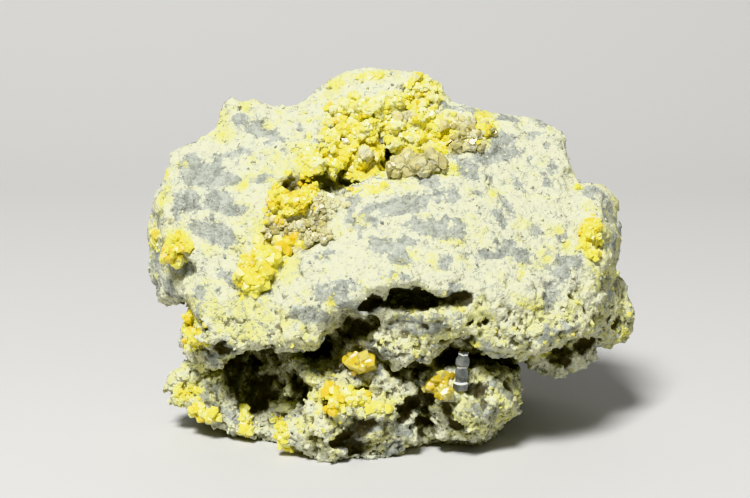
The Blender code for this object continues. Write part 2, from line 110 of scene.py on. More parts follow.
@dataclass(frozen=True)
class Sight:
    """The camera, and how its frame meets the specimen."""

    width: int = 750
    height: int = 498
    lens: float = 85.0
    sensor: float = 36.0
    target: tuple[float, float, float] = (-5.91, -2.1, 65.4)
    distance: float = 652.0
    elevation: float = 12.0

    @property
    def forward(self) -> Vector:
        """The way that the camera looks."""
        angle = math.radians(self.elevation)
        return Vector((0, math.cos(angle), -math.sin(angle)))

    @property
    def up(self) -> Vector:
        """The way that is up in the frame."""
        angle = math.radians(self.elevation)
        return Vector((0, math.sin(angle), math.cos(angle)))

    @property
    def eye(self) -> Vector:
        """The camera's place in millimetres."""
        return Vector(self.target) - self.forward * self.distance

    @property
    def focal(self) -> float:
        """The focal length in pixels."""
        return self.lens / self.sensor * self.width

    def ray(self, pixel: tuple[float, float]) -> Vector:
        """The direction through a pixel.

        Args:
            pixel: A point of the frame.

        Returns:
            A unit vector from the eye.
        """
        across = (pixel[0] - self.width / 2) / self.focal
        rise = (self.height / 2 - pixel[1]) / self.focal
        return (self.forward + Vector((1, 0, 0)) * across + self.up * rise).normalized()

    def project(self, points: np.ndarray) -> np.ndarray:
        """Where points appear in the frame.

        Args:
            points: Places in millimetres, one a row.

        Returns:
            Pixels, one a row.
        """
        away = points - np.array(self.eye)
        depth = away @ np.array(self.forward)
        across = self.width / 2 + self.focal * away[:, 0] / depth
        down = self.height / 2 - self.focal * (away @ np.array(self.up)) / depth
        return np.stack([across, down], axis=1)

    def camera(self) -> bpy.types.Object:
        """Makes the camera.

        Returns:
            The camera object, which the scene uses.
        """
        data = bpy.data.cameras.new("camera")
        data.lens = self.lens
        data.sensor_width = self.sensor
        data.dof.use_dof = False
        data.clip_start = CLIP_START
        made = bpy.data.objects.new("camera", data)
        bpy.context.scene.collection.objects.link(made)
        made.location = self.eye * MM
        made.rotation_euler = (-self.forward).to_track_quat("Z", "Y").to_euler()
        bpy.context.scene.camera = made
        return made


SIGHT = Sight()


# ---------------------------------------------------------------- mesh tools


def only(thing: bpy.types.Object) -> None:
    """Makes one object the only selected and the active one.

    Args:
        thing: The object.
    """
    bpy.ops.object.select_all(action="DESELECT")
    thing.select_set(True)
    bpy.context.view_layer.objects.active = thing


def apply(thing: bpy.types.Object, kind: str, **settings: object) -> None:
    """Adds a modifier and applies it.

    Args:
        thing: The object.
        kind: The modifier's type.
        settings: Its properties.
    """
    only(thing)
    modifier = thing.modifiers.new(kind.lower(), kind)
    for name, value in settings.items():
        setattr(modifier, name, value)
    bpy.ops.object.modifier_apply(modifier=modifier.name)


def remesh(thing: bpy.types.Object, voxel: float) -> None:
    """Gives a closed object an even skin.

    Args:
        thing: The object.
        voxel: The size of its faces in millimetres.
    """
    apply(thing, "REMESH", mode="VOXEL", voxel_size=voxel * MM, use_smooth_shade=True)


def thin(thing: bpy.types.Object, triangles: int) -> None:
    """Leaves at most so many triangles.

    Args:
        thing: The object.
        triangles: How many it may have.
    """
    thing.data.calc_loop_triangles()
    share = triangles / len(thing.data.loop_triangles)
    if share < 1:
        apply(thing, "DECIMATE", ratio=share, use_collapse_triangulate=True)


def copied(node: str, name: str) -> bpy.types.Object:
    """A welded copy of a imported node.

    Args:
        node: The node's name.
        name: The copy's name.

    Returns:
        The new object.
    """
    made = bpy.data.objects.new(name, frame["nodes"][node].data.copy())
    made.data.materials.clear()
    bpy.context.scene.collection.objects.link(made)
    shape = bmesh.new()
    shape.from_mesh(made.data)
    bmesh.ops.remove_doubles(shape, verts=shape.verts, dist=WELD * MM)
    shape.to_mesh(made.data)
    shape.free()
    return made


def places(thing: bpy.types.Object) -> np.ndarray:
    """Where the corners of a mesh are.

    Args:
        thing: The object.

    Returns:
        Places in millimetres, one a row.
    """
    flat = np.empty(len(thing.data.vertices) * 3)
    thing.data.vertices.foreach_get("co", flat)
    return flat.reshape(-1, 3) / MM


def normals(thing: bpy.types.Object) -> np.ndarray:
    """The normals at the corners of a mesh.

    Args:
        thing: The object.

    Returns:
        Unit vectors, one a row.
    """
    flat = np.empty(len(thing.data.vertices) * 3)
    thing.data.vertices.foreach_get("normal", flat)
    return flat.reshape(-1, 3)


def place(thing: bpy.types.Object, corners: np.ndarray) -> None:
    """Moves the corners of a mesh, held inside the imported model's box.

    Args:
        thing: The object.
        corners: The new places in millimetres, one a row.
    """
    low, high = (np.array(side) / MM for side in CAD_BOX)
    thing.data.vertices.foreach_set("co", (np.clip(corners, low, high) * MM).ravel())
    thing.data.update()


def record(thing: bpy.types.Object, name: str, values: np.ndarray) -> None:
    """Keeps one number for each corner as a named attribute.

    Args:
        thing: The object.
        name: The attribute's name.
        values: The numbers.
    """
    layer = thing.data.attributes.new(name, "FLOAT", "POINT")
    layer.data.foreach_set("value", values.astype(np.float32))


def tree_of(things: list[bpy.types.Object]) -> BVHTree:
    """A search tree over the faces of objects, in millimetres.

    Args:
        things: The objects.

    Returns:
        The tree, for rays and nearest points.
    """
    corners: list[Vector] = []
    faces: list[list[int]] = []
    for thing in things:
        start = len(corners)
        corners += [vertex.co / MM for vertex in thing.data.vertices]
        faces += [[start + corner for corner in polygon.vertices] for polygon in thing.data.polygons]
    return BVHTree.FromPolygons(corners, faces)


def smoothstep(values: np.ndarray, low: float, high: float) -> np.ndarray:
    """A soft step from 0 to 1 between two values."""
    share = np.clip((values - low) / (high - low), 0, 1)
    return share * share * (3 - 2 * share)


def facets(point: Vector, size: float, tilt: float, step: float) -> float:
    """The height of a broken surface of tilted facets.

    Args:
        point: A place in millimetres.
        size: The width of a facet in millimetres.
        tilt: How steep the facets are.
        step: How far they stand above and below one another in millimetres.

    Returns:
        The height in millimetres, round 0.
    """
    scaled = point / size
    scaled += noise.noise_vector(scaled * FACET_SHAKE_PITCH) * FACET_SHAKE
    nearest = noise.voronoi(scaled)[1][0]
    lean = noise.cell_vector(nearest * LEAN_KEY) * 2 - Vector((1, 1, 1))
    return size * tilt * lean.dot(scaled - nearest) + step * noise.cell(nearest * STEP_KEY)


def shelter(
    points: np.ndarray,
    outward: np.ndarray,
    around: BVHTree,
    probes: int,
    reach: float,
) -> np.ndarray:
    """How enclosed points are.

    Args:
        points: Places in millimetres, one a row.
        outward: The normals there.
        around: What may enclose them.
        probes: How many ways to look from each point.
        reach: How far to look in millimetres.

    Returns:
        Numbers from 0 in the open to 1.
    """
    rng = random.Random(PROBE_SEED)
    ways = [Vector([rng.gauss(0, 1) for _ in range(3)]).normalized() for _ in range(probes)]
    found = np.zeros(len(points))
    for index, (point, normal) in enumerate(zip(points, outward)):
        up = Vector(normal)
        start = Vector(point) + up * PROBE_START
        for way in ways:
            aim = up * PROBE_RISE + way
            found[index] += around.ray_cast(start, aim, reach)[0] is not None
    return found / probes


def levelled(thing: bpy.types.Object, values: np.ndarray, times: int) -> np.ndarray:
    """Values at the corners of a mesh, made more even.

    Args:
        thing: The object.
        values: One row for each corner.
        times: How often each corner takes the mean of its neighbours.

    Returns:
        The new values.
    """
    ends = np.empty(len(thing.data.edges) * 2, dtype=np.int64)
    thing.data.edges.foreach_get("vertices", ends)
    ends = ends.reshape(-1, 2)
    count = np.bincount(ends.ravel(), minlength=len(values))[:, None]
    mean = values.copy()
    for _ in range(times):
        total = np.zeros_like(mean)
        np.add.at(total, ends[:, 0], mean[ends[:, 1]])
        np.add.at(total, ends[:, 1], mean[ends[:, 0]])
        mean = total / count
    return mean


# ---------------------------------------------------------------- patches


@dataclass(frozen=True)
class Patch:
    """A spot of the surface, as an ellipse of the frame: its middle and half-widths in pixels."""

    name: str
    centre: tuple[float, float]
    reach: tuple[float, float]
    turn: float = 0.0

    def depth(self, pixels: np.ndarray) -> np.ndarray:
        """How far inside the ellipse pixels are.

        Args:
            pixels: Points of the frame, one a row.

        Returns:
            About the distance to the rim in pixels, negative outside.
        """
        angle = math.radians(self.turn)
        away = pixels - np.array(self.centre)
        along = away[:, 0] * math.cos(angle) + away[:, 1] * math.sin(angle)
        over = -away[:, 0] * math.sin(angle) + away[:, 1] * math.cos(angle)
        far = np.sqrt((along / self.reach[0]) ** 2 + (over / self.reach[1]) ** 2)
        return (1 - far) * min(self.reach)


CLASTS = [
    Patch("crown_band", (268, 134), (24, 7), 12),
    Patch("crown_knot", (255, 127), (8, 10)),
    Patch("brow_smear", (240, 152), (20, 5), -18),
    Patch("shoulder_upper", (191, 161), (11, 9)),
    Patch("shoulder_middle", (206, 175), (32, 14), 8),
    Patch("shoulder_lower", (188, 201), (14, 14)),
    Patch("shoulder_blue", (218, 201), (18, 13), 30),
    Patch("shoulder_rim", (237, 210), (14, 7)),
    Patch("vug_left", (263, 178), (11, 6), -15),
    Patch("left_stripe", (214, 233), (24, 12), 20),
    Patch("left_grey", (183, 268), (17, 7), 5),
    Patch("left_spot", (200, 292), (7, 9)),
    Patch("lip_grey", (228, 277), (14, 8), 10),
    Patch("lip_upper", (262, 288), (13, 6), 10),
    Patch("lip_middle", (307, 314), (22, 9), 12),
    Patch("lip_right", (322, 285), (13, 6), -10),
    Patch("blue_stripe", (345, 292), (4, 17), 12),
    Patch("slab_rim", (352, 210), (6, 22), 8),
    Patch("slab_band", (402, 205), (34, 10), -14),
    Patch("slab_band_low", (430, 228), (34, 9), 14),
    Patch("slab_block", (452, 196), (8, 11)),
    Patch("slab_left_low", (382, 245), (16, 8), 20),
    Patch("crest_left", (468, 167), (16, 10), 25),
    Patch("crest_band", (500, 140), (18, 9), 10),
    Patch("crest_middle", (497, 155), (26, 9), -15),
    Patch("crest_right", (530, 138), (9, 5), 15),
    Patch("crest_top", (540, 123), (9, 4), 15),
    Patch("dark_oval", (518, 183), (6.5, 5.5)),
    Patch("dark_left", (473, 192), (6, 4)),
    Patch("wedge", (506, 205), (4, 12), -28),
    Patch("slab_oval", (535, 229), (4.5, 8), -20),
    Patch("crest_streak", (548, 180), (3, 11), -32),
    Patch("crest_end", (552, 168), (7, 8)),
    Patch("end_upper", (608, 208), (6, 13), -10),
    Patch("end_seam", (590, 190), (9, 4), 10),
    Patch("corner_upper", (562, 270), (9, 12)),
    Patch("corner_lower", (550, 297), (8, 17), 10),
    Patch("corner_right", (575, 262), (9, 9)),
    Patch("slab_low", (525, 257), (9, 6), 10),
    Patch("slab_low_left", (455, 290), (9, 10)),
    Patch("slab_centre", (445, 262), (7, 9)),
    Patch("far_stripe", (609, 300), (3.5, 18)),
    # The next two grey clasts lie where the arch is in shadow: partly grey stone, partly painted shade.
    Patch("arch_clast_and_shade", (415, 325), (30, 10), 6),
    Patch("arch_left_clast_and_shade", (365, 308), (18, 8)),
    Patch("arch_tip", (482, 345), (10, 8)),
    Patch("ledge_grey", (438, 316), (9, 4)),
    Patch("ridge_left", (300, 392), (14, 9)),
    Patch("ridge_middle", (372, 425), (16, 8)),
    # Grey clast under the ridge, where it is in shadow: partly grey stone, partly painted shade.
    Patch("ridge_underside_clast_and_shade", (352, 440), (18, 8)),
    Patch("foot_left", (448, 398), (8, 13)),
    Patch("foot_middle", (480, 410), (9, 9)),
    Patch("foot_right", (507, 392), (8, 9)),
    Patch("knob_low", (215, 408), (13, 8), 20),
    Patch("flake_grey", (157, 262), (5, 13)),
    Patch("tooth_grey", (212, 358), (8, 9)),
]


@dataclass(frozen=True)
class Dent:
    """A hollow or a ledge: a patch, and how far it goes back, across and up in the frame, in millimetres."""

    patch: Patch
    back: float
    across: float = 0.0
    up: float = 0.0


DENTS = [
    Dent(Patch("lip_crevice", (395, 296), (24, 8), -18), 8.0),
    Dent(Patch("lip_crevice_middle", (426, 293), (17, 5.5), 12), 7.0),
    Dent(Patch("lip_crevice_end", (454, 299), (24, 3.2), 10), 5.0),
    Dent(Patch("vug_mass", (358, 168), (36, 19), -8), -9.0),
    Dent(Patch("vug_floor", (366, 180), (28, 11), -6), -14.0),
    Dent(Patch("summit_corner", (438, 82), (22, 22)), 0.0, -5.0, -1.5),
    Dent(Patch("slab_lip", (545, 334), (66, 17), -8), -5.0),
    Dent(Patch("vug_mass_left", (318, 168), (16, 10)), -2.0),
    Dent(Patch("flake_shadow", (350, 333), (26, 13), -15), 9.0),
    Dent(Patch("flake_dark", (370, 305), (20, 7), -30), 6.5),
    Dent(Patch("crevice_join", (377, 302), (15, 8), -35), 8.0),
    Dent(Patch("ledge_shadow", (400, 369), (30, 8), 18), 8.0),
    Dent(Patch("throat", (448, 346), (9, 13), 25), 10.0),
    Dent(Patch("gap_left", (468, 326), (11, 4), 10), 4.5),
    Dent(Patch("gap_right", (487, 323), (5, 5)), 3.5),
    Dent(Patch("foot_notch", (507, 369), (24, 8), -8), 9.0),
    Dent(Patch("toe_gap", (413, 409), (13, 12)), 9.0),
    Dent(Patch("cave", (252, 388), (34, 34), 20), 8.0),
    Dent(Patch("cave_top", (258, 362), (30, 10), -5), 6.0),
    Dent(Patch("under_ridge", (350, 447), (44, 9), 5), 5.0),
    Dent(Patch("right_crack", (510, 314), (14, 2.5), 18), 3.0),
    Dent(Patch("right_pit_upper", (528, 270), (7, 2.5), 15), 2.0),
    Dent(Patch("right_pit_lower", (535, 288), (3.5, 7), -10), 2.5),
    Dent(Patch("right_pit_small", (557, 279), (4, 2.5)), 2.0),
    Dent(Patch("under_slab", (575, 346), (34, 6), -12), 4.0),
    Dent(Patch("crown_pit", (245, 107), (2.6, 2.6)), 3.0),
    Dent(Patch("vug_hole_left", (336, 143), (13, 7), -25), 8.0),
    Dent(Patch("vug_hole_middle", (388, 151), (6, 6)), 7.0),
    Dent(Patch("vug_hole_low", (328, 189), (15, 5), -8), 6.0),
    Dent(Patch("vug_hole_far_left", (288, 187), (6, 4), 10), 4.0),
    Dent(Patch("vug_slot", (450, 151), (3.5, 10), 8), 6.0),
    Dent(Patch("summit_pocket", (409, 93), (8, 6)), 6.0),
    Dent(Patch("summit_slot", (407, 111), (9, 4), 5), 5.0),
    Dent(Patch("lip_pit", (307, 317), (5, 3)), 2.0),
    Dent(Patch("lip_pit_left", (230, 290), (5, 3)), 2.0),
    Dent(Patch("white_bar", (386, 350), (26, 4.5), 32), -3.5),
    Dent(Patch("arch_block", (407, 306), (15, 7), 10), -9.0),
    Dent(Patch("recess_flake", (429, 302), (9, 4), 22), -6.0),
    Dent(Patch("lip_bite_left", (380, 286), (6, 3), -20), 5.0),
    Dent(Patch("lip_bite_middle", (409, 283), (6, 3)), 5.0),
    Dent(Patch("lip_bite_right", (434, 289), (6, 3), 15), 5.0),
    Dent(Patch("lip_tooth_small", (420, 290), (4, 4)), -6.0),
    Dent(Patch("ridge_end", (296, 388), (13, 16), -15), -15.0),
    Dent(Patch("crown_top", (252, 108), (16, 8)), 0.0, 0.0, 1.6),
    Dent(Patch("arch_block_right", (440, 317), (11, 5), 15), -3.5),
    Dent(Patch("arch_ledge", (428, 351), (11, 4)), -3.0),
    Dent(Patch("ridge_crest", (330, 400), (38, 7), 38), -2.5),
    Dent(Patch("lip_tooth", (311, 350), (7, 10)), -2.0),
]


SULFUR_STAINS = [
    Patch("crown_hole", (248, 108), (6, 4)),
    Patch("crown_side", (223, 119), (4, 5)),
    Patch("crown_dot", (266, 126), (4, 3)),
    Patch("shoulder_pale", (222, 136), (6, 4)),
    Patch("shoulder_left", (183, 165), (6, 5)),
    Patch("edge_upper", (165, 172), (5, 9)),
    Patch("edge_lower", (162, 200), (4, 10), 20),
    Patch("shoulder_cream", (243, 185), (6, 8), 30),
    Patch("brow_dot", (295, 150), (5, 4)),
    Patch("brow_dot_low", (287, 157), (4, 3)),
    Patch("summit_left", (338, 84), (12, 7), -20),
    Patch("summit_top", (372, 77), (14, 5)),
    Patch("summit_right", (428, 88), (18, 14), 40),
    Patch("summit_low", (405, 105), (24, 8)),
    Patch("brow_front", (350, 120), (26, 14), 10),
    Patch("vug_wall", (318, 165), (26, 18), 20),
    Patch("vug_upper", (425, 138), (30, 24)),
    Patch("vug_right", (445, 168), (16, 9)),
    Patch("vug_far_right", (483, 125), (13, 22)),
    Patch("vug_middle", (362, 165), (38, 22)),
    Patch("vug_left_mass", (293, 202), (22, 14)),
    Patch("vug_low", (272, 235), (16, 20)),
    Patch("vug_tail", (258, 270), (20, 18)),
    Patch("left_nodule", (176, 243), (13, 12)),
    Patch("flake_strip", (152, 240), (4, 16)),
    Patch("lip_dots", (252, 278), (9, 6)),
    Patch("lip_dot", (296, 298), (5, 4)),
    Patch("lip_dots_right", (330, 302), (6, 8)),
    Patch("pocket", (196, 333), (13, 17)),
    Patch("slab_dot", (390, 278), (6, 4)),
    Patch("right_seam", (586, 235), (9, 22), 20),
    Patch("right_dot", (548, 258), (5, 6)),
    Patch("right_dot_up", (567, 244), (5, 5)),
    Patch("right_dot_pale", (558, 231), (7, 4)),
    Patch("right_dot_left", (522, 266), (5, 4)),
    Patch("right_low", (530, 306), (13, 6), 10),
    Patch("right_low_dot", (519, 278), (4, 4)),
    Patch("lip_orange", (476, 346), (7, 6), 30),
    Patch("lip_yellow", (548, 350), (18, 7), -15),
    Patch("ledge_yellow", (460, 308), (11, 5)),
    Patch("ledge_cream", (412, 309), (8, 6)),
    Patch("ridge_yellow", (333, 398), (20, 14), 10),
    Patch("ridge_dot", (380, 405), (10, 5)),
    Patch("far_low", (625, 333), (7, 9)),
    Patch("left_knob", (185, 392), (14, 12)),
    Patch("slab_band_stain", (452, 241), (9, 2.5), 5),
    Patch("slab_stain", (402, 262), (4, 3)),
    Patch("wedge_stain", (493, 193), (4, 4)),
    Patch("crest_stain", (488, 126), (9, 5)),
]

WASHES = [
    Patch("lip_left", (235, 315), (48, 22), 5),
    Patch("lip_centre", (300, 335), (22, 12), 10),
    Patch("slab_low_right", (545, 322), (70, 22)),
    Patch("corner_right", (606, 250), (12, 34)),
    Patch("ridge", (340, 410), (60, 32), 10),
    Patch("knob", (190, 390), (26, 24)),
    Patch("foot", (480, 402), (42, 26)),
    Patch("arch", (440, 330), (50, 30)),
    Patch("vug_rim_left", (300, 180), (34, 30)),
    Patch("vug_rim_low", (268, 250), (28, 30)),
    Patch("far_low", (620, 320), (16, 30)),
]


def shaken(corners: np.ndarray) -> np.ndarray:
    """Moves points about, so that the rims of hollows come out ragged.

    Args:
        corners: Places in millimetres, one a row.

    Returns:
        Other places, a few millimetres away.
    """
    moved = corners.copy()
    for index, corner in enumerate(corners):
        broad = noise.noise_vector(Vector(corner) / RAGGED_BROAD) * RAGGED_BROAD_SHAKE
        fine = noise.noise_vector(Vector(corner) / RAGGED_FINE) * RAGGED_FINE_SHAKE
        moved[index] += np.array(broad + fine)
    return moved


def dent(thing: bpy.types.Object, surface: BVHTree) -> None:
    """Sinks the hollows and raises the ledges.

    Args:
        thing: The object whose skin moves.
        surface: The surface on which the hollows lie.
    """
    corners = places(thing)
    moved = shaken(corners)
    back = np.zeros(len(corners))
    for hollow in DENTS:
        depth = placed_depth([hollow.patch], moved, surface)
        rim = RIM_SHARE * min(hollow.patch.reach) * SIGHT.distance / SIGHT.focal
        share = smoothstep(depth, 0, rim)
        back = np.where(np.abs(share * hollow.back) > np.abs(back), share * hollow.back, back)
        aside = np.array((hollow.across, 0, 0)) + np.array(SIGHT.up) * hollow.up
        corners = corners + share[:, None] * aside
    place(thing, corners + np.array(SIGHT.forward) * back[:, None])


def placed_depth(patches: list[Patch], corners: np.ndarray, surface: BVHTree) -> np.ndarray:
    """How deep each corner lies in the nearest of some patches.

    Args:
        patches: The patches.
        corners: Places in millimetres, one a row.
        surface: The surface on which the patches lie.

    Returns:
        The depth in millimetres, negative outside every patch.
    """
    pixels = SIGHT.project(corners)
    pixel_size = SIGHT.distance / SIGHT.focal
    deepest = np.full(len(corners), FAR_OUTSIDE)
    for patch in patches:
        hit = surface.ray_cast(SIGHT.eye, SIGHT.ray(patch.centre))[0]
        if hit is None:
            continue
        depth = patch.depth(pixels) * pixel_size
        reach = max(patch.reach) * pixel_size
        behind = np.abs((corners - np.array(hit)) @ np.array(SIGHT.forward)) - reach - PATCH_SLACK
        deepest = np.maximum(deepest, np.minimum(depth, -behind))
    return deepest


# ---------------------------------------------------------------- materials


class Graph:
    """A material's nodes, with a short call for each kind."""

    WARP_PITCH = 1.3

    def __init__(self, name: str) -> None:
        """Starts a material.

        Args:
            name: The material's name.
        """
        self.material = bpy.data.materials.new(name)
        self.material.use_nodes = True
        self.tree = self.material.node_tree
        self.shader = self.tree.nodes["Principled BSDF"]
        self.object = self.tree.nodes.new("ShaderNodeTexCoord").outputs["Object"]

    def link(self, source: object, target: object) -> None:
        """Joins an output to an input, or sets the input to a plain value.

        Args:
            source: An output socket, a number or a colour.
            target: The input socket.
        """
        if isinstance(source, bpy.types.NodeSocket):
            self.tree.links.new(source, target)
        elif isinstance(source, tuple):
            target.default_value = (*source, 1.0)[: len(target.default_value)]
        else:
            target.default_value = source

    def attribute(self, name: str) -> bpy.types.NodeSocket:
        """A number that the mesh keeps.

        Args:
            name: The attribute's name.

        Returns:
            The number.
        """
        node = self.tree.nodes.new("ShaderNodeAttribute")
        node.attribute_name = name
        return node.outputs["Fac"]

    def noise(self, size: float, detail: float = 4.0, rough: float = 0.6) -> bpy.types.NodeSocket:
        """Soft noise.

        Args:
            size: The width of its blots in millimetres.
            detail: How many finer layers it has.
            rough: How strong each finer layer is.

        Returns:
            A value round 0.5.
        """
        node = self.tree.nodes.new("ShaderNodeTexNoise")
        node.inputs["Scale"].default_value = 1 / (size * MM)
        node.inputs["Detail"].default_value = detail
        node.inputs["Roughness"].default_value = rough
        self.link(self.object, node.inputs["Vector"])
        return node.outputs["Fac"]

    def cells(self, size: float, feature: str = "F1") -> bpy.types.NodeSocket:
        """Cell noise.

        Args:
            size: The width of a cell in millimetres.
            feature: Which distance it gives.

        Returns:
            The distance, from 0 at a cell's middle.
        """
        node = self.tree.nodes.new("ShaderNodeTexVoronoi")
        node.feature = feature
        node.inputs["Scale"].default_value = 1 / (size * MM)
        self.link(self.warped(size), node.inputs["Vector"])
        return node.outputs["Distance"]

    def warped(self, size: float) -> bpy.types.NodeSocket:
        """Object coordinates shaken by noise, so that cells come out uneven.

        Args:
            size: The width of the cells in millimetres.

        Returns:
            The coordinates.
        """
        shake = self.tree.nodes.new("ShaderNodeTexNoise")
        shake.inputs["Scale"].default_value = self.WARP_PITCH / (size * MM)
        self.link(self.object, shake.inputs["Vector"])
        centred = self.tree.nodes.new("ShaderNodeVectorMath")
        centred.operation = "MULTIPLY_ADD"
        self.link(shake.outputs["Color"], centred.inputs[0])
        centred.inputs[1].default_value = (size * MM,) * 3
        self.link(self.object, centred.inputs[2])
        return centred.outputs["Vector"]

    def maths(self, operation: str, first: object, second: object = 0.0) -> bpy.types.NodeSocket:
        """A sum, product or other operation on two numbers.

        Args:
            operation: The operation's name.
            first: A number or a socket.
            second: A number or a socket.

        Returns:
            The result.
        """
        node = self.tree.nodes.new("ShaderNodeMath")
        node.operation = operation
        self.link(first, node.inputs[0])
        self.link(second, node.inputs[1])
        return node.outputs[0]

    def step(self, value: object, low: float, high: float) -> bpy.types.NodeSocket:
        """A soft step from 0 to 1.

        Args:
            value: What is compared.
            low: Where the step starts.
            high: Where it ends.

        Returns:
            The step.
        """
        node = self.tree.nodes.new("ShaderNodeMapRange")
        node.interpolation_type = "SMOOTHSTEP"
        self.link(value, node.inputs["Value"])
        self.link(low, node.inputs["From Min"])
        self.link(high, node.inputs["From Max"])
        return node.outputs["Result"]

    def mix(self, share: object, first: object, second: object) -> bpy.types.NodeSocket:
        """A blend of two colours.

        Args:
            share: How much of the second shows.
            first: A colour or a socket.
            second: A colour or a socket.

        Returns:
            The blended colour.
        """
        node = self.tree.nodes.new("ShaderNodeMix")
        node.data_type = "RGBA"
        self.link(share, node.inputs[0])
        self.link(first, node.inputs[6])
        self.link(second, node.inputs[7])
        return node.outputs[2]

    def bump(self, height: bpy.types.NodeSocket, depth: float, strength: float = 1.0) -> None:
        """Gives the shader fine relief.

        Args:
            height: The height from 0 to 1.
            depth: What 1 stands for in millimetres.
            strength: How much of it shows.
        """
        node = self.tree.nodes.new("ShaderNodeBump")
        node.inputs["Strength"].default_value = strength
        node.inputs["Distance"].default_value = depth * MM
        self.link(height, node.inputs["Height"])
        self.link(node.outputs["Normal"], self.shader.inputs["Normal"])

    def set(self, **values: object) -> None:
        """Sets the shader's sockets.

        Args:
            values: A value or a socket for each, named with _ for a space.
        """
        for name, value in values.items():
            self.link(value, self.shader.inputs[name.replace("_", " ")])


@dataclass(frozen=True)
class Grain:
    """Soft noise.

    The size is the width of its blots in millimetres. The detail and the roughness are its finer layers, and
    the amount is how strong it is.
    """

    size: float
    detail: float
    rough: float
    amount: float = 1.0

    def value(self, graph: Graph) -> bpy.types.NodeSocket:
        """The noise as it is, round 0.5."""
        return graph.noise(self.size, self.detail, self.rough)

    def centred(self, graph: Graph) -> bpy.types.NodeSocket:
        """The noise round 0, times its amount."""
        return graph.maths("MULTIPLY", graph.maths("SUBTRACT", self.value(graph), 0.5), self.amount)


@dataclass(frozen=True)
class Edge:
    """A soft edge between two values, past which something shows at most so strongly."""

    low: float
    high: float
    strength: float = 1.0

    def share(self, graph: Graph, value: bpy.types.NodeSocket) -> bpy.types.NodeSocket:
        """How much shows at a value."""
        return graph.maths("MULTIPLY", graph.step(value, self.low, self.high), self.strength)


